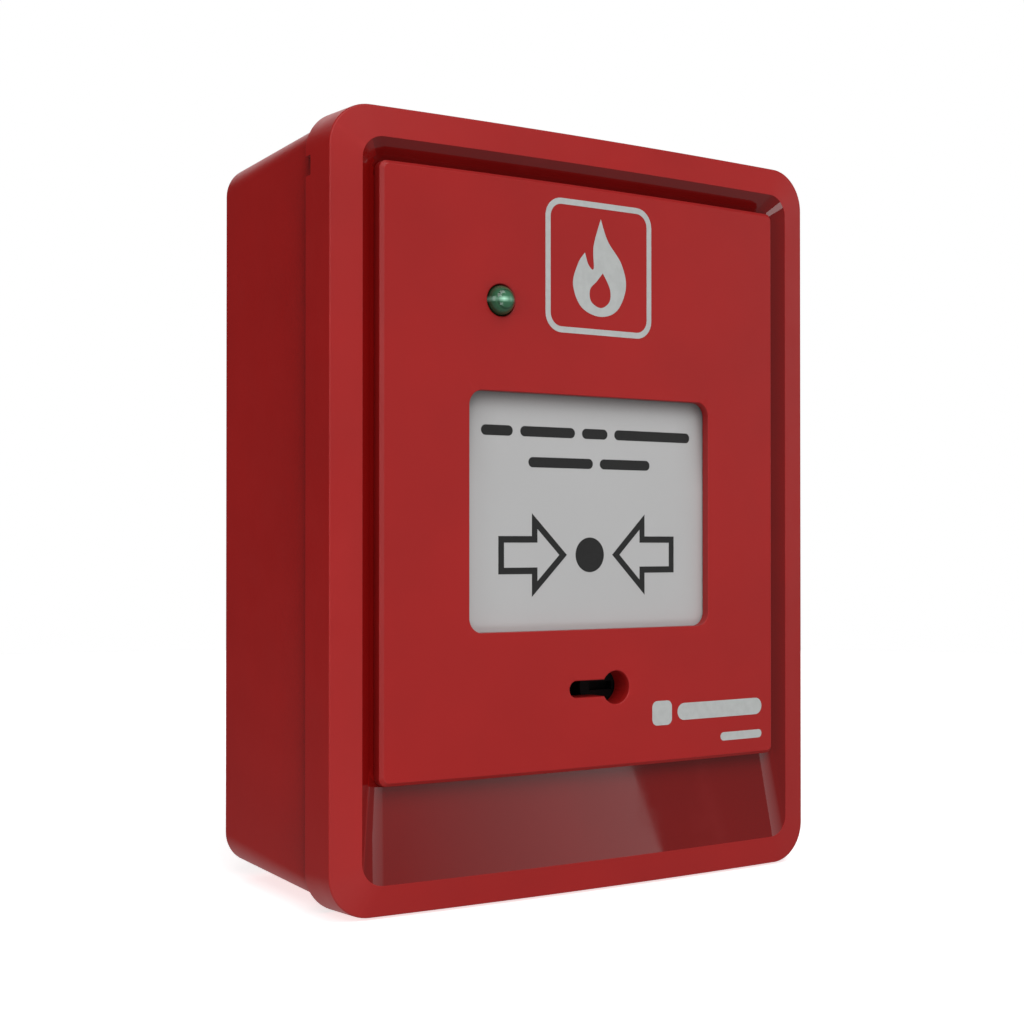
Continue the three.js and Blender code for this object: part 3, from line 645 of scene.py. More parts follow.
def lit_lens(name, rough=0.07):
    """Tinted resin dome, cloudy inside, with painted light and shade: a paler middle painted for the lit
    cup behind it, a dark rim of painted shade, and a painted glare, an emitted streak and spot, across
    it.
    """
    n = Nodes(name)
    place = n.split(n.coords)
    x = n.math("SUBTRACT", place["X"], LAMP_X * MM)
    z = n.math("SUBTRACT", place["Z"], LAMP_Z * MM)
    away = n.math("SQRT", n.math("ADD", n.math("MULTIPLY", x, x), n.math("MULTIPLY", z, z)), 0.0)
    tone = n.node("ValToRGB")
    n.link(n.ranged(away, 0.0, LAMP_R * MM, 0.0, 1.0), tone.inputs["Fac"])
    ramp = tone.color_ramp
    ramp.elements[0].color = (*LENS_PAINTED_SHADING[0][1], 1.0)
    ramp.elements[1].color = (*LENS_PAINTED_SHADING[-1][1], 1.0)
    for place, colour in LENS_PAINTED_SHADING[1:-1]:
        ramp.elements.new(place).color = (*colour, 1.0)
    haze = n.ranged(n.noise(900.0, 3.0), 0.3, 0.7, 0.9, 1.1)
    n.to("Base Color", n.shaded(tone.outputs["Color"], haze))
    # painted glare: an emitted streak and spot fixed across the lens's middle
    across = n.math("ABSOLUTE", n.math("ADD", x, 0.0006), 0.0)
    line = n.ranged(n.math("ABSOLUTE", z, 0.0), 0.0, 0.0005, 1.0, 0.0)
    painted_glare_streak = n.math("MULTIPLY", n.ranged(across, 0.0, 0.0026, 0.3, 0.0), line)
    painted_glare_spot = n.math("MULTIPLY", n.ranged(across, 0.0, 0.0008, 0.5, 0.0), line)
    n.to("Emission Color", (0.6, 1.0, 0.78))
    n.to("Emission Strength", n.math("ADD", painted_glare_streak, painted_glare_spot))
    n.to("Roughness", n.ranged(n.noise(800.0), 0.3, 0.7, rough - 0.02, rough + 0.03))
    n.to("Transmission Weight", 0.12)
    n.to("IOR", 1.49)
    n.to("Normal", n.bump(n.noise(1200.0, 1.0), 2e-7, 0.4))
    return n.mat


# radial colour ramp of the lens: painted light in the middle, painted shade towards the rim
LENS_PAINTED_SHADING = (
    (0.0, (0.075, 0.27, 0.14)), (0.5, (0.055, 0.2, 0.1)), (0.6, (0.02, 0.08, 0.036)),
    (0.7, (0.045, 0.165, 0.078)), (0.88, (0.028, 0.1, 0.045)), (1.0, (0.006, 0.024, 0.01)),
)
RED = (0.46, 0.0085, 0.0075)
MATS = {
    # red shell: painted shade darkens its corners and narrow gaps
    "red": moulded("red_shell", RED, rough=0.46, depth=2.5e-6, edge=1.1, painted_crevice_shade=0.3),
    # dish: a darker copy of the red, painted shade for the recess
    "dish": moulded("red_dish", tuple(c * 0.47 for c in RED), rough=0.036, depth=1e-7, edge=1.1),
    # dish's left wall and the floor beside it: a paler copy of the dish, painted light
    "dish_side_painted_light": moulded("red_dish_side", tuple(c * 0.68 for c in RED), 0.1, depth=1e-7, edge=1.1),
    # back box: strong painted shade over a long reach, darkening its sides next to the frame's rear edge
    "red_box": moulded("red_box", RED, rough=0.46, depth=2.5e-6, edge=1.1, painted_crevice_shade=0.9,
                       gap=(0.012, 0.88)),
    # white plate: painted shadow darkens its upper part under the window's top edge, between the heights
    # given by above
    "white": moulded("plate_white", (0.62, 0.62, 0.62), rough=0.34, vary=0.015, depth=2e-6,
                     edge=1.05, painted_crevice_shade=0.6, above=(0.004, 0.017)),
    "ink_dark": printed("ink_dark", (0.015, 0.015, 0.015)),
    "ink_pale": printed("ink_pale", (0.62, 0.64, 0.63)),
    "lens": lit_lens("lamp_green"),
    "dark": moulded("dark_plastic", (0.014, 0.014, 0.016), rough=0.42, vary=0.15, depth=5e-6, edge=1.6),
    "key_black": moulded("key_black", (0.004, 0.004, 0.0045), rough=0.6, vary=0.2, depth=5e-6,
                         specular=0.2),
    "grey": moulded("grey_plastic", (0.16, 0.17, 0.18), rough=0.45, vary=0.06, depth=6e-6),
    "lever_red": moulded("red_plastic", (0.37, 0.025, 0.018), rough=0.4, depth=4e-6),
    "rubber": moulded("rubber_black", (0.013, 0.013, 0.013), rough=0.72, vary=0.2, depth=1e-5, edge=1.7),
    "spring": brushed("spring_steel", (0.48, 0.5, 0.52), 0.27),
    "screw": brushed("screw_steel", (0.52, 0.53, 0.55), 0.3, (1500.0, 6000.0, 1500.0)),
    "brass": brushed("brass", (0.62, 0.4, 0.1), 0.3, (2500.0, 2500.0, 500.0)),
    "tin": brushed("tin", (0.6, 0.6, 0.6), 0.38, (2500.0, 2500.0, 2500.0)),
    "board": moulded("board_green", (0.012, 0.1, 0.035), rough=0.35, vary=0.2, grain=300.0, depth=6e-6),
    "terminal": moulded("terminal_green", (0.025, 0.15, 0.06), rough=0.42, depth=6e-6),
    "chip": moulded("chip_black", (0.009, 0.0095, 0.01), rough=0.5, vary=0.2, depth=1e-5, edge=1.8),
    "can": brushed("can_sleeve", (0.05, 0.055, 0.09), 0.34, (1500.0, 1500.0, 1500.0), metal=0.2),
    "blue": moulded("varistor_blue", (0.023, 0.08, 0.27), rough=0.35, vary=0.1, depth=1e-5),
}

# ---- front frame

FRAME_SECTION = [
    # side, top, bottom insets; depth; follows the bulge; loop corner; edge radius
    (0.0, 0.0, 0.0, FRONT_Y + RIM_DROP, 1.0, 6.5, 0.3),
    (0.0, -DRAFT, -DRAFT, REAR_Y, 0.0, 6.5, 0.2),
    (WALL, WALL, WALL, REAR_Y, 0.0, 4.1, 0.2),
    (WALL, WALL, WALL, RIM_BACK_Y, 0.0, 4.1, 0.3),
    (5.8, 7.0, 13.6, RIM_BACK_Y, 0.0, 3.0, 0.2),
    (5.8, 7.0, 13.6, FRONT_Y + DISH_DEPTH + 2.0, 1.0, 3.0, 0.3),
    (12.2, 12.5, 23.5, FRONT_Y + DISH_DEPTH + 2.0, 1.0, 2.0, 0.2),
    (12.2, 12.5, 23.5, FRONT_Y + DISH_DEPTH, 1.0, 2.0, 0.2),
    (*DISH_FLOOR, FRONT_Y + DISH_DEPTH, 1.0, 2.3, 2.6),
    (*DISH_EDGE, FRONT_Y, 1.0, 3.5, 0.13),
]


def front_frame():
    build = Build()
    rows = refine(soften(FRAME_SECTION, closed=True), 2.0, 4.0, 5)
    build.tube([ring(r, HALF_W, HALF_H, -HALF_H) for r in rows], closed=True)
    obj = piece("front_frame_shell", build, "housing", "red", ["front_frame"])
    for side in (-1, 1):
        cutter = Build()
        x = sorted((side * (HALF_W + 1), side * (HALF_W - WALL - 1)))
        soft_block(cutter, *x, REAR_Y - NOTCH_DEPTH, REAR_Y + 2, *NOTCH_Z, 0.25)
        carve(obj, cutter)
    obj.data.materials.append(MATS["dish"])
    obj.data.materials.append(MATS["dish_side_painted_light"])
    across, low, high = DISH_REACH
    # dish faces take the darker copy as painted shade; the left wall facing the light and the floor
    # beside it take the paler copy as painted light
    for face in obj.data.polygons:
        x, y, z = face.center / MM
        deep = y - FRONT_Y + bulge(x)
        if 0.03 < deep < DISH_DEPTH + 0.1 and abs(x) < across and low < z < high:
            painted_lit_wall = x < LEFT_WALL_END and face.normal.x > 0.3
            painted_lit_strip = x < STRIP_END and STRIP_Z[0] < z < STRIP_Z[1]
            face.material_index = 2 if painted_lit_wall or painted_lit_strip else 1


def snap_hooks():
    """Four hooks inside the frame that click into the box."""
    build = Build()
    for side, level in QUARTERS:
        x0, x1 = side * HOOK_X - HOOK_HALF, side * HOOK_X + HOOK_HALF
        arm = sorted(level * z for z in HOOK_ARM)
        barb = sorted((level * HOOK_ARM[0], level * HOOK_BARB))
        soft_block(build, x0, x1, RIM_BACK_Y - 0.6, HOOK_END_Y, *arm, 0.25)
        soft_block(build, x0, x1, HOOK_END_Y - 2, HOOK_END_Y, *barb, 0.3)
    piece("frame_hooks", build, "housing", "red")


# ---- face panel


def key_outline(grow, arc=40, straight=4, cap=20):
    """The reset opening: a round hole with a narrow slot to its left, grown outwards."""
    r, half = KEY_R + grow, KEY_SLOT_HALF + grow
    centre = KEY_SLOT_END + KEY_SLOT_HALF
    join = math.asin(half / r)
    loop = []
    for i in range(arc + 1):
        a = -math.pi + join + (2 * math.pi - 2 * join) * i / arc
        loop.append((KEY_X + r * math.cos(a), KEY_Z + r * math.sin(a)))
    start = loop[-1][0]
    for i in range(1, straight):
        loop.append((start + (centre - start) * i / straight, KEY_Z + half))
    for i in range(cap + 1):
        a = math.pi / 2 + math.pi * i / cap
        loop.append((centre + half * math.cos(a), KEY_Z + half * math.sin(a)))
    for i in range(1, straight):
        loop.append((centre + (start - centre) * i / straight, KEY_Z - half))
    return loop


def hole_rings(outline_at, edge, steps=4):
    """Rings of a hole in the panel's face: a rounded rim and its wall."""
    rings = []
    for i in range(steps + 1):
        a = math.pi / 2 * i / steps
        grow, y = edge * (1 - math.sin(a)), edge * (1 - math.cos(a))
        rings.append([(x, FRONT_Y + y - bulge(x), z) for x, z in outline_at(grow)])
    rings.append([(x, FRONT_Y + PANEL_SKIN - bulge(x), z) for x, z in outline_at(0.0)])
    return rings


def window_outline(grow):
    x0, x1, z0, z1 = WINDOW
    return rounded(x0 - grow, x1 + grow, z0 - grow, z1 + grow, WINDOW_CORNER + grow, 12, 30, 8)


def lamp_outline(grow):
    return circle(LAMP_X, LAMP_Z, LAMP_R + 0.1 + grow, 64)


def face_panel():
    half, top, bottom = PANEL_HIGH.x, PANEL_HIGH.z, PANEL_LOW.z
    bevel, rib, flat = 0.55, 1.9, 1.4
    f = FRONT_Y
    section = [
        (flat, flat, flat, f, 1.0, 0.5, 0.0),
        (bevel, bevel, bevel, f, 1.0, 0.9, 0.14),
        (0.0, 0.0, 0.0, f + bevel, 1.0, 1.2, 0.14),
        (0.0, 0.0, 0.0, f + PANEL_DEPTH, 1.0, 1.2, 0.15),
        (rib, rib, rib, f + PANEL_DEPTH, 1.0, 1.0, 0.15),
        (rib, rib, rib, f + PANEL_SKIN, 1.0, 1.0, 0.0),
    ]
    build = Build()
    rings = [ring(r, half, top, bottom, 8, 30, 16) for r in soften(section)]
    build.tube(rings)
    edges = ((window_outline, 0.14), (lamp_outline, 0.22), (key_outline, 0.22))
    openings = [hole_rings(outline_at, edge) for outline_at, edge in edges]
    for opening in openings:
        build.tube(opening)
    back = f + PANEL_SKIN
    build.cap(rings[0], [o[0] for o in openings], lambda x, z: f - bulge(x), (2.6, 5.0))
    build.cap(rings[-1], [o[-1] for o in openings], lambda x, z: back - bulge(x), (4.0, 8.0))
    piece("face_panel_shell", build, "housing", "red", ["face_panel"])


def panel_back():
    """Screw posts and the two collars behind the face."""
    build = Build()
    end = PANEL_HIGH.y
    for x, z in POSTS:
        start = FRONT_Y + PANEL_SKIN - bulge(x) - 0.3
        turned(build, x, z, rounded_profile([
            (0.0, start, 0), (3.2, start, 0), (3.2, end, 0.25), (1.3, end, 0.1), (1.3, end - 6, 0),
            (0, end - 6, 0),
        ]), 32)
    r0, r1 = LAMP_R + 0.12, LAMP_R + 1.3
    start = FRONT_Y + PANEL_SKIN - bulge(LAMP_X) - 0.2
    collar = rounded_profile([
        (r0, start, 0), (r1, start, 0), (r1, LAMP_COLLAR_END_Y, 0.2), (r0, LAMP_COLLAR_END_Y, 0.15),
        (r0, start, 0),
    ])
    turned(build, LAMP_X, LAMP_Z, collar, 48)
    bore, outer = 4.4, 5.6
    slot = KEY_SLOT_HALF + KEY_WALL + 0.05
    gap = math.asin(slot / bore)
    wide = math.asin(slot / outer)
    outline = []
    for r, edge, sign in ((outer, wide, 1), (bore, gap, -1)):
        for i in range(41):
            t = i / 40 if sign > 0 else 1 - i / 40
            a = -math.pi + edge + (2 * math.pi - 2 * edge) * t
            outline.append((KEY_X + r * math.cos(a), KEY_Z + r * math.sin(a)))
    back = FRONT_Y + PANEL_SKIN - 0.15
    prism(build, outline, [], lambda x: back - bulge(x), lambda x: ROTOR_COLLAR_END_Y, (2.0, 2.0))
    boss, keyhole = key_outline(KEY_WALL), key_outline(0.0)
    prism(build, boss, [keyhole], lambda x: back - bulge(x), lambda x: KEY_BOSS_END_Y, (1.0, 1.0))
    piece("panel_posts", build, "housing", "red")


# ---- press plate


def press_plate():
    half, top = PLATE_HIGH.x, PLATE_HIGH.z
    f = FRONT_Y + PLATE_DEPTH
    section = [
        (2.0, 2.0, 2.0, f, 1.0, 1.5, 0.0),
        (0.0, 0.0, 0.0, f, 1.0, 3.0, 0.25),
        (0.0, 0.0, 0.0, PLATE_BACK_Y, 0.0, 3.0, 0.25),
        (2.0, 2.0, 2.0, PLATE_BACK_Y, 0.0, 1.5, 0.0),
    ]
    build = Build()
    rings = [ring(r, half, top, -top, 8, 24, 8) for r in soften(section)]
    build.tube(rings)
    build.cap(rings[0], [], lambda x, z: f - bulge(x), (2.6, 5.0))
    build.cap(rings[-1], [], lambda x, z: PLATE_BACK_Y, (6.0, 6.0))
    root = PLATE_BACK_Y - 0.3
    for side in (-1, 1):
        turned(build, side * STUD_X, 0.0, rounded_profile([
            (0, root, 0), (2.0, root, 0), (2.0, PLATE_HIGH.y, 0.5), (0, PLATE_HIGH.y, 0),
        ]), 40)
    soft_block(build, 14.2, 15.8, root, LEVER_RIB_END_Y, 6.5, 9.5, 0.2)
    soft_block(build, 0.5, 7.5, root, CATCH_RIB_END_Y, -top, -top + 1.8, 0.2)
    piece("press_plate_body", build, "plate", "white", ["press_plate"])


# ---- printed marks

INK = 0.025  # the ink stands this far off its surface
SYMBOL_Z = -6.7


def mark(name, outlines, material, body, depth, step=(1.2, 3.0)):
    """Thin printed shapes on the panel or the plate. Each outline is (outer loop, [holes])."""
    build = Build()
    y = FRONT_Y + depth
    for outer, holes in outlines:
        prism(build, outer, holes, lambda x: y - bulge(x) - INK, lambda x: y - bulge(x) + INK, step)
    piece(name, build, body, material, sharp=40.0, weighted=False)


def dense(loop, longest=1.2):
    """A loop with its long edges split, so that it can follow the bulge."""
    out = []
    n = len(loop)
    for i in range(n):
        a, b = Vector(loop[i]), Vector(loop[(i + 1) % n])
        count = max(1, math.ceil((b - a).length / longest))
        out.extend(tuple(a + (b - a) * k / count) for k in range(count))
    return out


def inset(loop, distance):
    """A polygon moved inwards by distance, with mitred corners. The loop runs anticlockwise."""
    out = []
    n = len(loop)
    for i in range(n):
        a, b, c = (Vector(loop[(i + k) % n]) for k in (-1, 0, 1))
        u, v = (b - a).normalized(), (c - b).normalized()
        nu, nv = Vector((-u.y, u.x)), Vector((-v.y, v.x))
        out.append(tuple(b + (nu + nv) * (distance / (1 + nu.dot(nv)))))
    return out


def bar(x0, x1, z0, z1, r=None):
    r = r or min(x1 - x0, z1 - z0) / 2 - 0.01
    return dense(rounded(x0, x1, z0, z1, r, 6, 1, 1)), []


def arrow(side):
    """A hollow arrow that points at the dot from one side."""
    tip, base, tail = 4.45, 11.05, 17.2
    shaft, head = 2.97, 6.55
    z = SYMBOL_Z
    shape = [
        (-tail, z - shaft), (-base, z - shaft), (-base, z - head), (-tip, z),
        (-base, z + head), (-base, z + shaft), (-tail, z + shaft),
    ]
    hole = inset(shape, 1.02)
    if side > 0:
        shape = [(-x, y) for x, y in reversed(shape)]
        hole = [(-x, y) for x, y in reversed(hole)]
    return dense(shape), [dense(hole)]


def plate_marks():
    shapes = [arrow(-1), arrow(1), (dense(circle(0, SYMBOL_Z, 2.775, 48)), [])]
    mark("press_symbol", shapes, "ink_dark", "plate", PLATE_DEPTH)
    upper = ((-20.3, -14.6), (-13.2, -2.9), (-1.5, 3.5), (4.9, 20.6))
    lower = ((-11.7, 0.6), (2.0, 12.1))
    bars = [bar(a, b, 11.85, 13.45) for a, b in upper] + [bar(a, b, 7.05, 8.65) for a, b in lower]
    mark("plate_bars", bars, "ink_dark", "plate", PLATE_DEPTH)


def smooth_loop(points, per=10):
    """A closed Catmull-Rom curve through points; a point given twice makes a sharp corner."""
    out = []
    n = len(points)
    for i in range(n):
        p0, p1, p2, p3 = (Vector(points[(i + k) % n]) for k in (-1, 0, 1, 2))
        if (p2 - p1).length < 1e-6:
            continue
        for k in range(per):
            t = k / per
            out.append(tuple(0.5 * (
                2 * p1 + (p2 - p0) * t + (2 * p0 - 5 * p1 + 4 * p2 - p3) * t * t
                + (3 * p1 - p0 - 3 * p2 + p3) * t ** 3
            )))
    return out


def flame_badge():
    """A rounded frame with a plain two-tongued flame in it."""
    cx, cz = 0.72, 38.9
    hw, hh, stroke = 10.4, 10.6, 0.95
    outer = rounded(cx - hw, cx + hw, cz - hh, cz + hh, 3.0, 8, 1, 1)
    inner = rounded(
        cx - hw + stroke, cx + hw - stroke, cz - hh + stroke, cz + hh - stroke, 2.1, 8, 1, 1
    )
    flame = smooth_loop([(cx + x, cz + z) for x, z in (
        (0.2, 8.0), (0.2, 8.0), (1.6, 4.6), (4.3, 1.2), (5.2, -2.6), (3.4, -6.4), (0.0, -7.6),
        (-3.6, -6.3), (-5.2, -2.8), (-4.2, 0.6), (-2.9, 2.4), (-2.9, 2.4), (-2.2, 0.5), (-1.2, 0.0),
        (-1.2, 3.6),
    )])
    core = smooth_loop([(cx + x, cz + z) for x, z in (
        (0.6, -0.6), (0.6, -0.6), (2.0, -3.0), (1.9, -5.1), (0.2, -6.2), (-1.7, -5.3), (-1.9, -3.4),
        (-0.6, -2.0),
    )])
    return [(dense(outer), [dense(inner)]), (flame, [core])]


def panel_marks():
    mark("flame_badge", flame_badge(), "ink_pale", "housing", 0.0)
    shapes = [
        bar(11.3, 15.4, -34.6, -30.6, 1.0),
        bar(16.6, 35.4, -34.0, -31.2),
        bar(26.0, 35.4, -38.0, -36.6),
    ]
    mark("corner_bars", shapes, "ink_pale", "housing", 0.0)


# ---- back box

KNOCKOUT_GROOVE = ((9.0, 58.0), (9.6, 60.6), (8.4, 60.6), (9.0, 58.0))  # radius, height


def back_box():
    half, top = BOX_HIGH.x, BOX_HIGH.z
    lip_in, lip_top = half - BOX_LIP_SIDE, top - BOX_LIP_TOP
    in_side, in_top = half - BOX_INSIDE_SIDE, top - BOX_INSIDE_TOP
    lip_y, floor_y, draft = BOX_LOW.y, BOX_FLOOR_Y, BOX_DRAFT
    section = [
        (in_side + 3, in_top + 3, in_top + 3, floor_y, 0.0, 2.0, 0.0),
        (in_side, in_top, in_top, floor_y, 0.0, 4.2, 0.6),
        (in_side, in_top, in_top, lip_y, 0.0, 4.2, 0.2),
        (lip_in, lip_top, lip_top, lip_y, 0.0, 5.5, 0.25),
        (lip_in, lip_top, lip_top, BOX_FRONT_Y, 0.0, 5.5, 0.15),
        (0.0, 0.0, 0.0, BOX_FRONT_Y, 0.0, 3.25, 0.3),
        (0.0, draft, draft, 0.0, 0.0, 5.2, 0.55),
        (3.0, draft + 3, draft + 3, 0.0, 0.0, 3.0, 0.0),
    ]
    rows = refine(soften(section), math.inf, 8.0, 8)
    build = Build()
    rings = [ring(r, half, top, -top, 14, 12, 12) for r in rows]
    build.tube(rings)
    holes, wide = (
        [circle(x, 0.0, 2.3 + grow, 40) for x in (-WALL_SCREW_X, WALL_SCREW_X)]
        + [circle(0.0, CABLE_Z, 7.0 + grow, 64)] for grow in (0.0, 0.25)
    )
    build.cap(rings[0], wide, lambda x, z: floor_y, (8.0, 8.0))
    build.cap(rings[-1], wide, lambda x, z: 0.0, (8.0, 8.0))
    for small, big in zip(holes, wide):
        build.tube([
            [(x, floor_y, z) for x, z in big], [(x, floor_y + 0.25, z) for x, z in small],
            [(x, -0.25, z) for x, z in small], [(x, 0.0, z) for x, z in big],
        ])
    obj = piece("back_box_shell", build, "housing", "red_box", ["back_box"])
    for side, level in QUARTERS:
        cutter = Build()
        x, reach = side * HOOK_X, HOOK_HALF + POCKET_GAP
        z = sorted(level * height for height in POCKET_Z)
        soft_block(cutter, x - reach, x + reach, *POCKET_Y, *z, 0.2)
        carve(obj, cutter)
    for level in (-1, 1):
        cutter = Build()
        rims = ((circle(0.0, 0.0, r, 64), level * z) for r, z in KNOCKOUT_GROOVE)
        cutter.tube([[(px, pz + KNOCKOUT_Y, z) for px, pz in rim] for rim, z in rims])
        carve(obj, cutter)
    groove = Build()
    turned(groove, 0.0, -CABLE_Z, ((9.6, -0.5), (10.1, 1.0), (9.1, 1.0), (9.6, -0.5)))
    carve(obj, groove)


def grommet():
    y0, y1 = GROMMET_LOW.y, GROMMET_HIGH.y
    flange = GROMMET_HIGH.x
    neck, bore, inner = 6.7, 3.6, -2.7
    profile = rounded_profile([
        (bore, -2.0, 0), (bore, y1, 0.5), (neck, y1, 0.35), (neck, inner, 0.1), (flange, inner, 0.4),
        (flange, inner - 1.6, 0.5), (bore + 1.2, y0, 0.5), (bore, inner - 1.4, 0.3), (bore, -2.0, 0),
    ])
    build = Build()
    turned(build, 0.0, CABLE_Z, profile, 64)
    piece("grommet", build, "housing", "rubber", ["cable_grommet"])


# ---- lamp


def lamp():
    tip, base = LAMP_LOW.y, LAMP_HIGH.y
    flange = LAMP_HIGH.x - LAMP_X
    r = LAMP_R
    profile = [(0.0, tip)]
    for i in range(1, 17):
        a = math.pi / 2 * i / 16
        profile.append((r * math.sin(a), tip + r * (1 - math.cos(a))))
    profile += rounded_profile([
        (r, tip + r + 0.5, 0), (r, base - 1.0, 0.1), (flange, base - 1.0, 0.15), (flange, base, 0.15),
        (0.0, base, 0),
    ])
    build = Build()
    turned(build, LAMP_X, LAMP_Z, profile, 64)
    piece("lamp_dome", build, "housing", "lens", ["lamp_lens"], 50.0)
    metal = Build()
    cup = base - 3.9
    turned(metal, LAMP_X - 0.35, LAMP_Z, rounded_profile([
        (0.0, cup + 0.55, 0), (0.45, cup + 0.55, 0), (0.95, cup, 0.05), (1.2, cup, 0.05),
        (1.05, cup + 1.3, 0.2), (0.3, cup + 1.6, 0), (0.0, cup + 1.6, 0),
    ]), 40)
    for x0, x1, start in ((-0.6, -0.1, 1.4), (0.95, 1.35, 0.1)):
        soft_block(
            metal, LAMP_X + x0, LAMP_X + x1, cup + start, base - 0.2, LAMP_Z - 0.2, LAMP_Z + 0.2, 0.08,
        )
    piece("lamp_cup", metal, "housing", "tin")


# ---- springs


def spring(name, node, radius, wire, turns, along, end):
    """A wound spring with closed ends. It runs along Y (1) or Z (2)."""
    low, high = box_mm(node)
    start, stop = low[along], high[along]
    centre = (low + high) / 2
    length = stop - start
    steps = int(turns * 26)
    lead = 1.0 / turns
    closed = 0.8 * lead  # share of the run in each closed end
    rings = []
    for i in range(steps + 1):
        t = i / steps
        a = 2 * math.pi * turns * t
        ramp = min(max((t - closed) / (1 - 2 * closed), 0.0), 1.0)
        rise = wire / 2 + wire * min(t / closed, 1.0) * 0.9 / 2
        rise += wire * 0.9 / 2 * max(0.0, (t - 1 + closed) / closed)
        run = rise + (length - wire * 1.9) * ramp
        out = Vector((math.cos(a), math.sin(a), 0.0))
        up = Vector((0.0, 0.0, 1.0))
        loop = []
        for k in range(10):
            b = 2 * math.pi * k / 10
            p = out * (radius + wire / 2 * math.cos(b)) + up * (run + wire / 2 * math.sin(b))
            if along == 1:
                loop.append((centre.x + p.x, start + p.z, centre.z - p.y))
            else:
                loop.append((centre.x + p.x, centre.y + p.y, start + p.z))
        rings.append(loop)
    build = Build()
    loops = build.tube(rings)
    build.faces.append(tuple(reversed(loops[0])))
    build.faces.append(tuple(loops[-1]))
    obj = piece(name, build, "housing", "spring", [node], 60.0, weighted=False)
    fixed = [c * MM for c in centre]
    fixed[along] = (stop if end == "high" else start) * MM
    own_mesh(obj)


# ---- carried-over CAD nodes


def finish_node(node, material, edge):
    """Gives a CAD node its material and lightly rounded edges."""
    obj = frame["nodes"][node]
    obj.data.materials.clear()
    obj.data.materials.append(MATS[material])
    mod = obj.modifiers.new("soft_edges", "BEVEL")
    mod.width = edge * MM
    mod.segments = 2
    mod.limit_method = "ANGLE"
    mod.angle_limit = math.radians(40)


def numbered(name, count):
    return [f"{name}_{i + 1}" for i in range(count)]


INNER = {
    "grey": ["chassis"],
    "dark": ["latch_slider", "switch_body"],
    "key_black": ["reset_rotor"],
    "spring": ["switch_lever"],
    "tin": ["lamp_lead_left", "lamp_lead_right"],
    "lever_red": ["switch_plunger", "address_switch"],
    "brass": numbered("switch_pin", 3) + numbered("terminal_clamp", 4),
    "screw": numbered("terminal_screw", 4) + numbered("panel_screw", 4) + numbered("board_screw", 3),
    "board": ["circuit_board"],
    "terminal": ["terminal_block"],
    "white": numbered("address_slider", 4),
    "chip": ["microcontroller", "bus_chip", "choke", "resistor_1", "resistor_2", "diode"],
    "can": ["capacitor_large", "capacitor_small"],
    "blue": ["varistor"],
    "rubber": ["box_gasket"],
}


def ends(low, high, outside, inside=0.1):
    """The spans that legs take at the two ends of a part."""
    return (low - outside, low + inside), (high - inside, high + outside)


def chip_legs():
    """Solder legs, pads and fillets round the parts on the board's back."""
    build = Build()
    top = BOARD_BACK_Y
    low, high = box_mm("microcontroller")
    for i in range(8):
        x, z = (low[k] + (high[k] - low[k]) * (i + 0.5) / 8 for k in (0, 2))
        for z0, z1 in ends(low.z, high.z, 0.9):
            soft_block(build, x - 0.13, x + 0.13, top, top + 0.35, z0, z1, 0.05)
        for x0, x1 in ends(low.x, high.x, 0.9):
            soft_block(build, x0, x1, top, top + 0.35, z - 0.13, z + 0.13, 0.05)
    low, high = box_mm("bus_chip")
    for i in range(4):
        x = low.x + (high.x - low.x) * (i + 0.5) / 4
        for z0, z1 in ends(low.z, high.z, 1.1):
            soft_block(build, x - 0.2, x + 0.2, top, top + 0.4, z0, z1, 0.06)
    for node in ("resistor_1", "resistor_2"):
        low, high = box_mm(node)
        for z0, z1 in ends(low.z, high.z, 0.35, 0.25):
            soft_block(build, low.x - 0.05, high.x + 0.05, top, high.y + 0.04, z0, z1, 0.08)
    low, high = box_mm("diode")
    for x0, x1 in ends(low.x, high.x, 0.8):
        soft_block(build, x0, x1, top, top + 0.5, 3.2, 4.8, 0.1)
    for node in (*numbered("switch_pin", 3), "lamp_lead_left", "lamp_lead_right"):
        low, high = box_mm(node)
        x, z = (low.x + high.x) / 2, (low.z + high.z) / 2
        turned(build, x, z, rounded_profile([
            (0, top - 0.05, 0), (1.15, top - 0.05, 0), (1.1, top + 0.08, 0.05),
            (0.62, top + 0.45, 0.2), (0.4, high.y - 0.2, 0.1), (0, high.y - 0.1, 0),
        ]), 20)
    piece("solder_legs", build, "housing", "tin", sharp=50.0)


# ---- assembly

front_frame()
snap_hooks()
face_panel()
panel_back()
press_plate()
plate_marks()
panel_marks()
back_box()
grommet()
lamp()
for side in ("left", "right"):
    spring(f"plate_coil_{side}", f"plate_spring_{side}", 2.6, 0.5, 5.25, 1, "high")
spring("latch_coil", "latch_spring", 1.35, 0.4, 8.25, 2, "low")
chip_legs()
for material, names in INNER.items():
    for node in names:
        finish_node(node, material, 0.06 if material in ("chip", "tin", "white") else 0.12)

# ---- floor and light


def floor():
    build = Build()
    rims = (circle(0.0, -25.0, r, 96) for r in (0.001, 300.0, 600.0))
    build.tube([[(x, y, FRAME_LOW.z) for x, y in rim] for rim in rims])
    n = Nodes("floor")
    tone = n.ranged(n.noise(8.0), 0.3, 0.7, 0.0, 1.0)
    n.to("Base Color", n.mix(tone, (0.93, 0.93, 0.93), (0.95, 0.95, 0.95)))
    n.to("Roughness", 0.9)
    n.to("Specular IOR Level", 0.0)
    n.to("Emission Color", (1.0, 1.0, 1.0))
    n.to("Emission Strength", 0.7)
    data = build.mesh("floor")
    obj = bpy.data.objects.new("floor", data)
    data.materials.append(n.mat)
    link(obj)
    obj.visible_diffuse = obj.visible_glossy = obj.visible_shadow = False


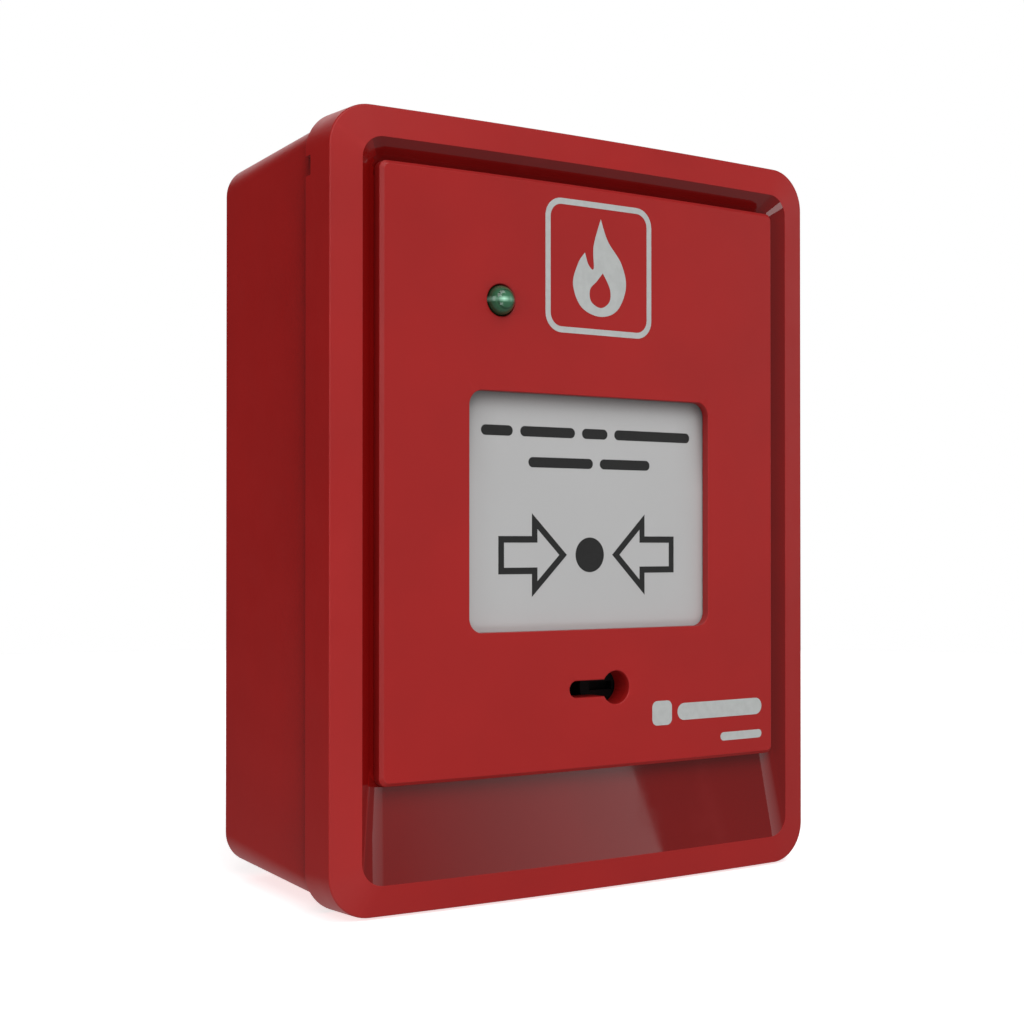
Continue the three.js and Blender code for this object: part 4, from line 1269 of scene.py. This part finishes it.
def area_light(name, where, size, power, roll=0.0):
    """A rectangular lamp aimed at the object, turned about its own axis by roll degrees."""
    data = bpy.data.lights.new(name, "AREA")
    data.shape = "RECTANGLE"
    data.size, data.size_y = size
    data.energy = power
    obj = bpy.data.objects.new(name, data)
    obj.location = where
    turn = (Vector(MIDDLE) - Vector(where)).to_track_quat("-Z", "Y")
    obj.rotation_euler = (turn @ Quaternion((0.0, 0.0, 1.0), math.radians(roll))).to_euler()
    link(obj)
    return data


def fade_across(light):
    """Lets a lamp's light grow from nothing at its left edge to full at its right."""
    light.use_nodes = True
    n = Tree(light.node_tree)
    place = n.split(n.node("NewGeometry").outputs["Parametric"])
    n.link(place["X"], n.tree.nodes["Emission"].inputs["Strength"])


def world():
    made = bpy.data.worlds.new("studio")
    bpy.context.scene.world = made
    made.use_nodes = True
    made.node_tree.nodes.clear()
    n = Tree(made.node_tree)
    seen, lit = n.node("Background"), n.node("Background")
    for sky in (seen, lit):
        n.put((1.0, 1.0, 1.0), sky.inputs["Color"])
    way = n.split(n.node("TexCoord").outputs["Generated"])
    ahead = n.ranged(way["Y"], *SKY_TURN, FRONT_SKY, 0.0, curve="SMOOTHSTEP")
    back = n.ranged(way["Y"], *SKY_TURN, 0.0, 1.0, curve="SMOOTHSTEP")
    rise = n.ranged(way["Z"], -0.5, -0.12, BACK_LOW, BACK_SKY, curve="SMOOTHSTEP")
    n.link(n.math("ADD", ahead, n.math("MULTIPLY", back, rise)), lit.inputs["Strength"])
    mix = n.node("MixShader")
    n.link(n.node("LightPath").outputs["Is Camera Ray"], mix.inputs["Fac"])
    n.link(lit.outputs["Background"], mix.inputs[1])
    n.link(seen.outputs["Background"], mix.inputs[2])
    n.link(mix.outputs["Shader"], n.node("OutputWorld").inputs["Surface"])


def towards(azimuth, elevation, distance):
    """A place seen from the object at an azimuth right of straight ahead and an elevation."""
    a, e = math.radians(azimuth), math.radians(elevation)
    return (
        distance * math.sin(a) * math.cos(e),
        -distance * math.cos(a) * math.cos(e) - 0.03,
        distance * math.sin(e),
    )


FRONT_SKY = 0.27  # strength of the surroundings in front
BACK_SKY = 0.04  # behind, above the floor
BACK_LOW = 0.6  # behind, from below
SKY_TURN = (-0.45, 0.3)  # the front fades into the back over this stretch of the Y direction
LAMP_DISTANCE = 2.4
LAMPS = {  # azimuth, elevation, size, power
    "key": (-30.0, 38.0, (1.2, 1.2), 14.5),
    "side": (-75.0, 10.0, (1.0, 1.4), 10.0),
    "top": (5.0, 60.0, (1.4, 1.0), 14.4),
    "right": (66.0, 12.0, (0.8, 1.2), 2.4),
    "low": (-15.0, -30.0, (1.0, 0.8), 7.6),
    "right_rear": (108.0, 12.0, (0.8, 1.2), 5.0),
    "rear": (170.0, 35.0, (1.2, 1.0), 6.0),
}
MIDDLE = (0.0, -0.03, 0.0)

floor()
world()
for name, (azimuth, elevation, size, power) in LAMPS.items():
    area_light(name, towards(azimuth, elevation, LAMP_DISTANCE), size, power)
fade_across(area_light("card", towards(28.4, 3.7, 1.2), (0.426, 0.306), 0.46, roll=18.1))

scene = bpy.context.scene
scene.view_settings.view_transform = "Standard"
